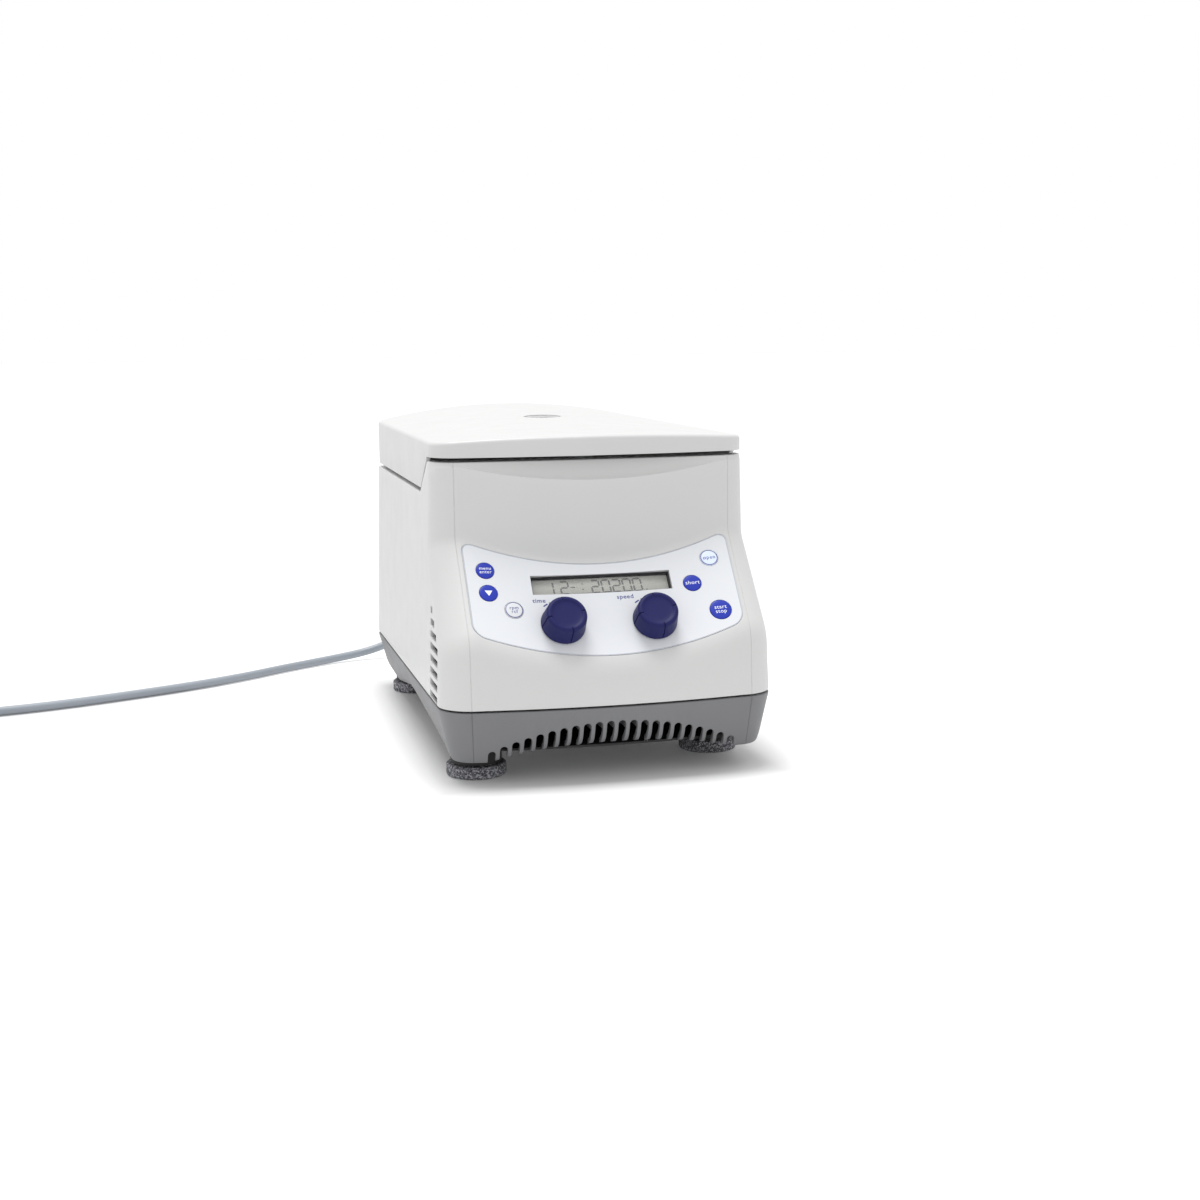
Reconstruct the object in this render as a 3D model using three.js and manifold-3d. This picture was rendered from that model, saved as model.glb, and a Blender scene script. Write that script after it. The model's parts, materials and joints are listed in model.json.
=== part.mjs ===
// Bench microcentrifuge: moulded upper housing on a ventilated base, hinged lid, fixed-angle rotor,
// sloped keypad panel with two knobs and six keys, four rubber feet and a mains lead.
// Millimetres. +X is the operator's right, -Y the front, +Z up; z = 0 is the bench.
import * as THREE from 'three';
import { mergeVertices } from 'three/addons/utils/BufferGeometryUtils.js';
import Module from 'manifold-3d';

const wasm = await Module();
wasm.setup();

// ---- Driving dimensions -------------------------------------------------------------------
const GAP = 0.3; // clearance between pieces that rest on each other
const WALL = 3;
const HALF_TOP = 110; // half width at the lid
const HALF_BASE = 115; // half width at the joint with the base
const FLAT_HALF = 90; // front is one arc out to here, then the corner fillet
const PANEL_SPANS = 6; // facets from the middle of the front to FLAT_HALF
const SEAM_HALF = 96; // where the front's arcs are measured from
const REAR = 187;
const REAR_R = 12;
const JOINT_FRONT_Z = 52; // joint between housing and base
const JOINT_REAR_Z = 46;
const JOINT_GAP = 1.2;
const DECK_Z = 211;
const LID_Z = 214; // lower edge of the lid's front
const SKIRT_Z = 190; // lower edge of the lid's sides
const LEDGE_Z = 187; // housing ledge under the lid's sides and rear
const SIDE_SPANS = 5; // stretches along each side, so that the arched edges follow their curves
const REAR_SPANS = 4; // stretches from the rear corner to the middle
const FRONT_Y = -133; // upper front zone at the seams
const PANEL_FOOT_Y = -184.5; // lower break line of the panel at the seams
const BULGE = 8.5; // how far the front's middle stands ahead of the seams
const UPPER_BREAK = { z: 162, dip: 19.6 };
const LOWER_BREAK = { z: 99, dip: 18.5 };
const MITRE = -0.361; // drop of the break lines for each mm that the skin is offset inwards
const CENTRE_Y = 32; // rotor, chamber and lid window
const BOWL_R = 93;
const BOWL_FLOOR = 136;
const ROTOR_Z = 140;
const TUBES = 24;
const HINGE = { y: 178, z: 208 };
const KNOB = { x: 31.6, s: 0.645, r: 15.2, top: 13.4, height: 15.4 };
const DISPLAY = { half: 48.5, high: 7.46, s: 0.229 };
const KEYS = [
  ['menu_key', -78.8, 0.255, 6.2], ['down_key', -78.7, 0.471, 6.2], ['unit_key', -63.1, 0.575, 6.2],
  ['open_key', 78.0, 0.22, 6.2], ['short_key', 62.7, 0.393, 6.2], ['start_key', 78.1, 0.731, 7.4],
];
// The front right foot stands further back than the left one.
const FOOT = { x: 86.6, frontY: -143, frontRightY: -115, rearY: 148, r: 20.5, h: 8.5 };
const FEET = [
  [-FOOT.x, FOOT.frontY], [FOOT.x, FOOT.frontRightY], [-FOOT.x, FOOT.rearY], [FOOT.x, FOOT.rearY],
];
const BASE_Z = 17; // lower edge of the base at the feet
const BASE_TAPER = 7.5; // how far the base's walls lean in from the joint to their lower edge
const SLOTS = { count: 22, half: 82.4, r: 2.7, top: 42, fall: 18 };
const SIDE_ARCH = { front: -165, peak: 5, rear: 100, z: 20, rise: 15.5 };
const LOUVRE = { x0: -16, x1: 88, y: 195, z0: 64, z1: 156 }; // raised air outlet on the rear panel
const CORD_R = 3.5;
const INLET = { x: -55, z: 46 };
const COIL = { x: -482, y: 92, inner: 33, outer: 47, height: 21.2 };

// ---- Materials ----------------------------------------------------------------------------
const finish = (color, roughness, metalness = 0) =>
  new THREE.MeshStandardMaterial({ color, roughness, metalness });
const M = {
  white: finish(0xe8e8e6, 0.45), grey: finish(0x86878a, 0.55), foil: finish(0xf0f3f7, 0.35),
  navy: finish(0x343269, 0.4), blue: finish(0x2b3ab2, 0.35), paleBlue: finish(0xcfe0f4, 0.35),
  glass: finish(0xc8d4d8, 0.1), lcd: finish(0xa5a398, 0.25), rubber: finish(0x5a5b5d, 0.9),
  gasket: finish(0x2b2b2d, 0.8), steel: finish(0xb8bbbe, 0.3, 0.9), alloy: finish(0xc3c5c8, 0.4, 0.8),
  board: finish(0x1f5a3a, 0.6), black: finish(0x202124, 0.5), cord: finish(0x969ea8, 0.5),
};

// ---- Solid helpers ------------------------------------------------------------------------
function solid(geometry) {
  const g = geometry.clone();
  g.deleteAttribute('normal');
  g.deleteAttribute('uv');
  const merged = mergeVertices(g, 1e-4);
  return new wasm.Manifold(new wasm.Mesh({
    numProp: 3,
    vertProperties: new Float32Array(merged.attributes.position.array),
    triVerts: new Uint32Array(merged.index.array),
  }));
}
function toGeometry(body) {
  const mesh = body.getMesh();
  const g = new THREE.BufferGeometry();
  g.setAttribute('position', new THREE.BufferAttribute(new Float32Array(mesh.vertProperties), 3));
  g.setIndex(new THREE.BufferAttribute(mesh.triVerts, 1));
  return g;
}
function box(x0, x1, y0, y1, z0, z1) {
  const g = new THREE.BoxGeometry(x1 - x0, y1 - y0, z1 - z0);
  g.translate((x0 + x1) / 2, (y0 + y1) / 2, (z0 + z1) / 2);
  return g;
}
// A cylinder along +Z, from z0 to z1.
function rod(r, z0, z1, x = 0, y = 0, sides = 16) {
  const g = new THREE.CylinderGeometry(r, r, z1 - z0, sides);
  g.rotateX(Math.PI / 2);
  g.translate(x, y, (z0 + z1) / 2);
  return g;
}
// A cylinder along +X.
function crossRod(r, x0, x1, y, z, sides = 14) {
  const g = new THREE.CylinderGeometry(r, r, x1 - x0, sides);
  g.rotateZ(Math.PI / 2);
  g.translate((x0 + x1) / 2, y, z);
  return g;
}
// A turned solid about +Z from a closed [radius, z] outline, listed outwards and up.
function turned(outline, x = 0, y = 0, sides = 28) {
  const points = outline.map(([r, z]) => new THREE.Vector2(r, z));
  points.push(points[0].clone());
  const g = new THREE.LatheGeometry(points, sides);
  g.rotateX(Math.PI / 2);
  g.translate(x, y, 0);
  return g;
}
// A plate whose outline lies in YZ, from x0 to x1.
function sidePlate(outline, x0, x1) {
  const shape = new THREE.Shape(outline.map(([y, z]) => new THREE.Vector2(y, z)));
  const g = new THREE.ExtrudeGeometry(shape, { depth: x1 - x0, bevelEnabled: false });
  g.applyMatrix4(new THREE.Matrix4().makeBasis(
    new THREE.Vector3(0, 1, 0), new THREE.Vector3(0, 0, 1), new THREE.Vector3(1, 0, 0)));
  g.translate(x0, 0, 0);
  return g;
}
// A plate whose outline lies in XZ, from y0 to y1.
function frontPlate(shape, y0, y1, curveSegments = 8) {
  const g = new THREE.ExtrudeGeometry(shape, { depth: y1 - y0, bevelEnabled: false, curveSegments });
  g.rotateX(Math.PI / 2);
  g.translate(0, y1, 0);
  return g;
}
// A closed skin through rings of equal length, stacked along +Z and each anticlockwise from above,
// or along +X with across giving (y, z). It ends in a cap or, with an apex, in that point.
function loft(rings, { apex, across = (p) => new THREE.Vector2(p.x, p.y) } = {}) {
  const n = rings[0].length;
  const vertices = rings.flat();
  const faces = [];
  for (let k = 0; k + 1 < rings.length; k++) {
    for (let i = 0; i < n; i++) {
      const a = k * n + i;
      const b = k * n + (i + 1) % n;
      faces.push(a, b, b + n, a, b + n, a + n);
    }
  }
  const cap = (points) => THREE.ShapeUtils.triangulateShape(points.map(across), []);
  for (const [a, b, c] of cap(rings[0])) faces.push(a, c, b);
  const last = (rings.length - 1) * n;
  if (apex) {
    vertices.push(apex);
    for (let i = 0; i < n; i++) faces.push(last + i, last + (i + 1) % n, vertices.length - 1);
  } else {
    for (const [a, b, c] of cap(rings.at(-1))) faces.push(last + a, last + b, last + c);
  }
  const g = new THREE.BufferGeometry();
  g.setAttribute('position', new THREE.Float32BufferAttribute(vertices.flatMap((p) => [p.x, p.y, p.z]), 3));
  g.setIndex(faces);
  return g;
}
const group = new THREE.Group();
function add(name, geometry, material) {
  const mesh = new THREE.Mesh(geometry.isBufferGeometry ? geometry : toGeometry(geometry), material);
  mesh.name = name;
  group.add(mesh);
}
const lerp = THREE.MathUtils.lerp;

// ---- Outer skin of the casing -------------------------------------------------------------
const halfWidth = (z) => HALF_BASE - (HALF_BASE - HALF_TOP) * (z - JOINT_FRONT_Z) / (215 - JOINT_FRONT_Z);
const arc = (x) => 1 - (x / SEAM_HALF) ** 2;
const jointZ = (y) => lerp(JOINT_FRONT_Z, JOINT_REAR_Z, (y + 190) / (REAR + 190));
const upperZ = (x) => UPPER_BREAK.z - UPPER_BREAK.dip * arc(x);
const lowerZ = (x) => LOWER_BREAK.z - LOWER_BREAK.dip * arc(x);

// One ring round the casing. front(x) gives the front's {y, z, mitre} at the seam-to-seam arc; the
// fillets offset that profile inwards, and the sides and rear run level with it.
function ring(front, offset) {
  const right = [];
  for (let i = 0; i <= PANEL_SPANS; i++) {
    const x = FLAT_HALF * i / PANEL_SPANS;
    const p = front(x);
    right.push(new THREE.Vector3(x, p.y + offset, p.z + p.mitre * offset));
  }
  const corner = front(FLAT_HALF);
  const turns = 5;
  let z = corner.z;
  for (let i = 1; i <= turns; i++) {
    const angle = Math.PI / 2 * i / turns;
    const r = halfWidth(corner.z) - FLAT_HALF;
    const inward = r * (1 - Math.cos(angle)) + offset * Math.cos(angle);
    z = corner.z + corner.mitre * inward;
    const x = FLAT_HALF + (halfWidth(z) - FLAT_HALF - offset) * Math.sin(angle);
    right.push(new THREE.Vector3(x, corner.y + inward, z));
  }
  const side = right.at(-1);
  const r = Math.max(1, REAR_R - offset);
  for (let i = 1; i < SIDE_SPANS; i++) {
    right.push(new THREE.Vector3(side.x, lerp(side.y, REAR - offset - r, i / SIDE_SPANS), z));
  }
  const steps = 3;
  for (let i = 0; i <= steps; i++) {
    const angle = Math.PI / 2 * i / steps;
    const x = halfWidth(z) - offset - r + r * Math.cos(angle);
    right.push(new THREE.Vector3(x, REAR - offset - r + r * Math.sin(angle), z));
  }
  const end = right.at(-1).x;
  for (let i = 1; i <= REAR_SPANS; i++) {
    right.push(new THREE.Vector3(end * (1 - i / REAR_SPANS), REAR - offset, z));
  }
  const left = right.slice(1, -1).reverse().map((p) => new THREE.Vector3(-p.x, p.y, p.z));
  return [...right, ...left];
}
// The front's rows from the joint up to the deck, with both break lines eased.
function frontRows(x) {
  const q = arc(x);
  const top = { y: FRONT_Y - BULGE * q, z: upperZ(x) };
  const foot = { y: PANEL_FOOT_Y - BULGE * q, z: lowerZ(x) };
  const base = { y: foot.y - 2, z: JOINT_FRONT_Z };
  const scoop = Math.max(0, 1 - (x / 84) ** 2);
  const ease = (from, mid, to, reach) => {
    const a = new THREE.Vector2(from.y - mid.y, from.z - mid.z).setLength(reach);
    const b = new THREE.Vector2(to.y - mid.y, to.z - mid.z).setLength(reach);
    return [0, 0.5, 1].map((t) => ({
      y: mid.y + a.x * (1 - t) ** 2 + b.x * t ** 2,
      z: mid.z + a.y * (1 - t) ** 2 + b.y * t ** 2,
      mitre: MITRE,
    }));
  };
  return [
    ...ease(base, foot, top, 9),
    ...ease(foot, top, { y: top.y, z: DECK_Z }, 5),
    { y: top.y, z: DECK_Z - 0.8 - 11 * scoop, mitre: 0 },
    { y: top.y + 5 * scoop, z: DECK_Z, mitre: 0 },
  ];
}
function housingSolid(offset, topZ) {
  const rings = frontRows(0).map((_, k) => ring((x) => frontRows(x)[k], offset));
  const bottom = ring((x) => ({ y: PANEL_FOOT_Y - 2 - BULGE * arc(x), z: 0, mitre: 0 }), offset);
  const reach = offset ? JOINT_GAP / 2 - 5 : JOINT_GAP / 2;
  for (const p of bottom) {
    p.z = jointZ(p.y) + reach;
    p.x *= (halfWidth(p.z) - offset) / (halfWidth(0) - offset);
  }
  for (const p of rings.at(-1)) p.z = topZ;
  return solid(loft([bottom, ...rings]));
}
// A point on the control panel: s runs from its upper break line (0) to its lower one (1).
function panelPoint(x, s, lift = 0) {
  const q = arc(x);
  const p = new THREE.Vector3(x, lerp(FRONT_Y, PANEL_FOOT_Y, s) - BULGE * q, lerp(upperZ(x), lowerZ(x), s));
  return p.addScaledVector(panelNormal(x, s), lift);
}
function panelNormal(x, s) {
  const slope = lerp(UPPER_BREAK.dip, LOWER_BREAK.dip, s) * 2 * x / SEAM_HALF ** 2;
  const across = new THREE.Vector3(1, BULGE * 2 * x / SEAM_HALF ** 2, slope);
  const up = new THREE.Vector3(0, FRONT_Y - PANEL_FOOT_Y, upperZ(x) - lowerZ(x));
  return across.cross(up).normalize();
}
// Places a solid made along +Z onto the panel, its +Z along the panel's normal.
function onPanel(geometry, x, s) {
  const n = panelNormal(x, s);
  const along = new THREE.Vector3(1, 0, 0).addScaledVector(n, -n.x).normalize();
  const frame = new THREE.Matrix4().makeBasis(along, n.clone().cross(along), n);
  return geometry.applyMatrix4(frame.setPosition(panelPoint(x, s)));
}
// A sheet that follows the panel between two lifts, over +-half and from s0 to s1.
function panelSheet(half, s0, s1, low, high, cornerX = 0, cornerS = 0) {
  const pitch = FLAT_HALF / PANEL_SPANS;
  const flat = half - cornerX;
  const columns = [];
  for (let x = 0; x < flat - 1; x += pitch) columns.push(x);
  for (const part of cornerX ? [0, 0.5, 0.87, 1] : [0]) columns.push(flat + cornerX * part);
  const mirrored = columns.slice(1).reverse().map((x) => -x);
  return loft([...mirrored, ...columns].map((x) => {
    const over = cornerX ? Math.max(0, Math.abs(x) - flat) / cornerX : 0;
    const inset = cornerS * (1 - Math.sqrt(Math.max(0, 1 - over ** 2)));
    return [[s0 + inset, low], [s0 + inset, high], [s1 - inset, high], [s1 - inset, low]]
      .map(([s, lift]) => panelPoint(x, s, lift));
  }), { across: (p) => new THREE.Vector2(p.y, p.z) });
}

// ---- Upper housing ------------------------------------------------------------------------
{
  const inner = housingSolid(WALL, DECK_Z - WALL)
    .subtract(solid(box(102, 130, -125, 200, LEDGE_Z - WALL, 230)))
    .subtract(solid(box(-130, -102, -125, 200, LEDGE_Z - WALL, 230)))
    .subtract(solid(box(-130, 130, 163, 200, LEDGE_Z - WALL, 230)));
  const rebate = [[-120, 240], [-110, DECK_Z], [-76, LEDGE_Z], [240, LEDGE_Z], [240, 240]];
  let housing = housingSolid(0, DECK_Z).subtract(inner);
  const cuts = [
    sidePlate(rebate, 105, 140), sidePlate(rebate, -140, -105),
    box(-140, 140, 166, 240, LEDGE_Z, 240),
    rod(BOWL_R + 3, 190, 230, 0, CENTRE_Y, 40),
    box(-9, 9, -110, -97, 200, 230),
    panelSheet(93, 0.03, 0.925, -0.7, 3, 8, 0.1),
    onPanel(box(-DISPLAY.half, DISPLAY.half, -DISPLAY.high, DISPLAY.high, -9, 6), 0, DISPLAY.s),
    box(-98, 98, REAR - 12, REAR + 10, 57, 160),
  ];
  for (const [, x, s, r] of KEYS) cuts.push(onPanel(rod(r + 0.35, -12, 6), x, s));
  for (const side of [-1, 1]) {
    cuts.push(onPanel(rod(3.6, -12, 6), side * KNOB.x, KNOB.s));
    for (let i = 0; i < 8; i++) {
      const z = 112.4 - 8.2 * i;
      const length = Math.min(8 + 8.5 * i, 32);
      const louvre = box(-15, 15, -129.5 - length, -129.5, z - 2.6, z + 2.6);
      louvre.translate(side * 115, 0, 0);
      cuts.push(louvre);
    }
  }
  for (const cut of cuts) housing = housing.subtract(solid(cut));
  add('upper_housing', housing, M.white);
}

// ---- Base tray ----------------------------------------------------------------------------
// Height of the arched lower edge on the base's sides.
function sideArchZ(y) {
  const { front, peak, rear, z, rise } = SIDE_ARCH;
  const away = y < peak ? ((peak - y) / (peak - front)) ** 1.6 : ((y - peak) / (rear - peak)) ** 1.5;
  return z + rise * (1 - away);
}
{
  const baseSolid = (wall) => {
    const front = (x) => ({ y: PANEL_FOOT_Y - 2 - BULGE * arc(x), z: JOINT_FRONT_Z, mitre: 0 });
    const rings = [[BASE_Z, BASE_TAPER + 1.5], [BASE_Z + 2, BASE_TAPER], [null, 0]].map(([z, inset]) => {
      const points = ring(front, inset + wall);
      for (const p of points) p.z = z ?? jointZ(p.y) - JOINT_GAP / 2 + (wall ? 5 : 0);
      return points;
    });
    return solid(loft(rings));
  };
  const archFront = new THREE.Shape();
  archFront.moveTo(-84, 0);
  archFront.lineTo(-84, BASE_Z);
  archFront.quadraticCurveTo(0, 36.2, 84, BASE_Z);
  archFront.lineTo(84, 0);
  let base = baseSolid(0)
    .subtract(baseSolid(WALL).intersect(solid(box(-140, 140, -240, 240, 37, 80))))
    .subtract(baseSolid(4).intersect(solid(box(-140, 140, -240, 240, 0, 34))));
  const sideOutline = [[SIDE_ARCH.front, 0]];
  for (let i = 0; i <= 12; i++) {
    const y = lerp(SIDE_ARCH.front, SIDE_ARCH.rear, i / 12);
    sideOutline.push([y, sideArchZ(y)]);
  }
  sideOutline.push([SIDE_ARCH.rear, 0]);
  const cuts = [sidePlate(sideOutline, -140, 140), frontPlate(archFront, -240, -150)];
  for (let i = 0; i < SLOTS.count; i++) {
    const x = lerp(-SLOTS.half, SLOTS.half, i / (SLOTS.count - 1));
    const top = SLOTS.top - SLOTS.fall * (x / SLOTS.half) ** 2;
    const slot = new THREE.Shape();
    slot.moveTo(x - SLOTS.r, 10);
    slot.lineTo(x - SLOTS.r, top - SLOTS.r);
    slot.absarc(x, top - SLOTS.r, SLOTS.r, Math.PI, 0, true);
    slot.lineTo(x + SLOTS.r, 10);
    cuts.push(frontPlate(slot, -240, -172, 2));
  }
  for (const cut of cuts) base = base.subtract(solid(cut));
  for (const [x, y] of FEET) {
    base = base.add(solid(rod(17.5, 13.6, 35, x, y, 20)));
    base = base.subtract(solid(rod(4.4, 0, 50, x, y, 12)));
  }
  add('base_tray', base, M.grey);
}

// ---- Feet ---------------------------------------------------------------------------------
FEET.forEach(([x, y], i) => {
  const pad = turned([[4.4, 6], [4.4, 0], [FOOT.r - 1.5, 0], [FOOT.r, 1.5], [FOOT.r, FOOT.h - 1.2],
    [FOOT.r - 1.2, FOOT.h], [15.5, FOOT.h], [15.5, 13.3], [4.4, 13.3]], x, y, 20);
  add(`foot_pad_${i + 1}`, pad, M.rubber);
  add(`foot_screw_${i + 1}`, turned([[0, 2.2], [3.9, 2.2], [3.9, 44], [0, 44]], x, y, 12), M.steel);
});

// ---- Keypad, display, knobs and keys ------------------------------------------------------
{
  let foil = solid(panelSheet(92.6, 0.034, 0.921, -0.4, 0.15, 7.7, 0.096));
  const { half, high } = DISPLAY;
  foil = foil.subtract(solid(onPanel(box(-half, half, -high, high, -5, 6), 0, DISPLAY.s)));
  for (const [, x, s, r] of KEYS) foil = foil.subtract(solid(onPanel(rod(r + 0.35, -5, 5), x, s)));
  for (const side of [-1, 1]) {
    foil = foil.subtract(solid(onPanel(rod(3.6, -5, 5), side * KNOB.x, KNOB.s)));
  }
  add('keypad_foil', foil, M.foil);
  const pane = box(GAP - half, half - GAP, GAP - high, high - GAP, -2.9, -1.7);
  add('display_window', onPanel(pane, 0, DISPLAY.s), M.glass);
  add('lcd_module', onPanel(box(-46, 46, -12, 12, -10.2, -6.2), 0, DISPLAY.s), M.lcd);
  let board = solid(onPanel(box(-88, 88, -27, 30, -16.2, -14.6), 0, 0.47));
  for (const side of [-1, 1]) {
    board = board.subtract(solid(onPanel(rod(3.6, -40, 0), side * KNOB.x, KNOB.s)));
  }
  add('control_board', board, M.board);
}
for (const [name, x, s, r] of KEYS) {
  const body = [[0, -4.6], [r - 0.8, -4.6], [r - 0.8, -3.6], [r, -3.4]];
  const outline = [...body, [r, 0.35], [r - 0.35, 0.7], [0, 0.7]];
  const key = turned(outline, 0, 0, 16);
  const colour = name === 'unit_key' ? M.foil : name === 'open_key' ? M.paleBlue : M.blue;
  add(name, onPanel(key, x, s), colour);
}
[['time', -1], ['speed', 1]].forEach(([name, side]) => {
  const { x, s, r, top, height } = KNOB;
  const shaft = [[0, -9], [3.2, -9], [3.2, 0.8]];
  const skirt = [[r - 0.4, 0.8], [r, 1.4], [top + 0.5, height - 1.8], [top - 0.2, height - 0.5]];
  const face = [[top - 1.6, height], [top - 4, height - 0.6], [0, height - 1.3]];
  let knob = solid(turned([...shaft, ...skirt, ...face], 0, 0, 28));
  for (let i = 0; i < 4; i++) {
    const groove = box(top - 1, r + 2, -0.6, 0.6, 1.4, height + 2);
    groove.rotateZ(Math.PI * (10 + 90 * i) / 180);
    knob = knob.subtract(solid(groove));
  }
  add(`${name}_knob`, onPanel(toGeometry(knob), side * x, s), M.navy);
  const encoder = solid(box(-7, 7, -6.5, 6.5, -13, -4.5)).subtract(solid(rod(3.6, -12, 0)));
  add(`${name}_encoder`, onPanel(toGeometry(encoder), side * x, s), M.black);
});

// ---- Rotor chamber and drive --------------------------------------------------------------
{
  const floor = BOWL_FLOOR;
  const outside = [[20, floor - 2], [80, floor - 2], [91, floor + 2], [BOWL_R + 2, floor + 12]];
  const rim = [[2, GAP], [8, GAP], [8, 1.1], [0, 1.1]].map(([r, z]) => [BOWL_R + r, DECK_Z + z]);
  const inside = [[BOWL_R, floor + 13], [89, floor + 4], [79, floor], [20, floor]];
  add('chamber_bowl', turned([...outside, ...rim, ...inside], 0, CENTRE_Y, 40), M.steel);
  const seal = [[1.5, 1.4], [7, 1.4], [7, 3], [3.5, 3.6], [1.5, 3]].map(([r, z]) => [BOWL_R + r, DECK_Z + z]);
  add('chamber_gasket', turned(seal, 0, CENTRE_Y, 40), M.gasket);
  const motor = [[8, 62], [44, 62], [44, 112], [36, 118], [18, 118], [18, 132], [8, 132]];
  add('drive_motor', turned(motor, 0, CENTRE_Y, 20), M.alloy);
}
const MOUNT_ANGLES = [30, 150, 270];
{
  let plate = solid(rod(66, 56, 60, 0, CENTRE_Y, 24)).subtract(solid(rod(8, 50, 70, 0, CENTRE_Y)));
  for (const degrees of MOUNT_ANGLES) {
    const a = degrees * Math.PI / 180;
    plate = plate.subtract(solid(rod(3.4, 50, 70, 56 * Math.cos(a), CENTRE_Y + 56 * Math.sin(a), 12)));
  }
  add('motor_plate', plate, M.steel);
  MOUNT_ANGLES.forEach((degrees, i) => {
    const a = degrees * Math.PI / 180;
    const damper = turned([[0, 37.3], [8, 37.3], [8, 55.7], [3.1, 55.7], [3.1, 62], [0, 62]],
      56 * Math.cos(a), CENTRE_Y + 56 * Math.sin(a), 10);
    add(`motor_damper_${i + 1}`, damper, M.gasket);
  });
}
{
  const tip = ROTOR_Z + 51;
  const shaft = turned([[0, 63], [6, 63], [6, tip - 1], [5, tip], [0, tip]], 0, CENTRE_Y, 16);
  add('drive_shaft', shaft, M.steel);
}
{
  const outside = [[6.4, 6], [25, 6], [33, 2], [60, 2], [85, 10], [88, 18], [88, 46], [83.5, 56], [67, 56]];
  const hub = [[43.5, 32], [21.5, 30], [21.5, 36], [6.4, 36]];
  let rotor = solid(turned([...outside, ...hub], 0, 0, 36));
  for (let i = 0; i < TUBES; i++) {
    const bore = new THREE.CylinderGeometry(5.6, 5.6, 57, 8);
    bore.translate(0, -9.5, 0);
    bore.rotateX(Math.PI / 2);
    bore.rotateY(-Math.PI / 4);
    bore.translate(55.2, 0, 44);
    bore.rotateZ(2 * Math.PI * i / TUBES);
    rotor = rotor.subtract(solid(bore));
  }
  const g = toGeometry(rotor);
  g.translate(0, CENTRE_Y, ROTOR_Z);
  add('rotor', g, M.alloy);
}
const raised = (outline) => outline.map(([r, z]) => [r, z + ROTOR_Z]);
{
  const under = [[7, 41], [23, 42], [64, 56.4], [81.5, 56.4]];
  const top = [[81.5, 58.6], [63.6, 58.6], [22.6, 44.4], [7, 43.4]];
  add('rotor_lid', turned(raised([...under, ...top]), 0, CENTRE_Y, 36), M.alloy);
}
{
  const outside = [[6.4, 44.4], [14, 44.4], [16, 46], [16, 58], [14.5, 60.5]];
  let nut = solid(turned(raised([...outside, [0, 60.5], [0, 52], [6.4, 52]]), 0, 0, 18));
  for (let i = 0; i < 6; i++) {
    const a = Math.PI / 3 * i;
    const flute = rod(2.2, ROTOR_Z + 46, ROTOR_Z + 64, 16.6 * Math.cos(a), 16.6 * Math.sin(a), 8);
    nut = nut.subtract(solid(flute));
  }
  const g = toGeometry(nut);
  g.translate(0, CENTRE_Y, 0);
  add('rotor_lid_nut', g, M.black);
}
add('power_board', box(-60, 60, 118, 168, 42, 44), M.board);

// ---- Rear panel, inlet and switch ---------------------------------------------------------
{
  const { x0, x1, y, z0, z1 } = LOUVRE;
  let panel = solid(box(-97.6, 97.6, REAR - 2.4, REAR + 0.6, 57.4, 159.6))
    .add(solid(box(x0, x1, REAR, y, z0, z1)))
    .subtract(solid(box(x0 + 2, x1 - 2, REAR - 5, y - 2, z0 + 2, z1 - 2)));
  panel = panel.subtract(solid(box(INLET.x - 14, INLET.x + 14, 170, 200, INLET.z + 16, INLET.z + 36)));
  panel = panel.subtract(solid(box(INLET.x + 24, INLET.x + 38, 170, 200, INLET.z + 15.3, INLET.z + 36)));
  for (let row = 0; row < 9; row++) {
    for (const middle of [lerp(x0, x1, 0.26), lerp(x0, x1, 0.74)]) {
      const z = z0 + 7.7 + row * 9;
      panel = panel.subtract(solid(box(middle - 21, middle + 21, y - 4, y + 4, z, z + 4.6)));
    }
  }
  add('rear_panel', panel, M.grey);
}
const inletZ = INLET.z + 26;
{
  const around = (half, y0, y1, high) => solid(
    box(INLET.x - half, INLET.x + half, y0, y1, inletZ - high, inletZ + high));
  const socket = around(13.7, REAR - 22, REAR + 0.4, 9.7).subtract(around(11.6, REAR - 16, REAR + 4, 7.6));
  add('mains_inlet', socket, M.black);
  const face = [[REAR + 0.5, inletZ - 9.4], [REAR + 1.6, inletZ], [REAR + 3.4, inletZ + 9.2]];
  const rocker = [[REAR - 8, inletZ - 9.4], ...face, [REAR - 8, inletZ + 9.2]];
  add('mains_switch', sidePlate(rocker, INLET.x + 24.6, INLET.x + 37.4), M.black);
}

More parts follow.
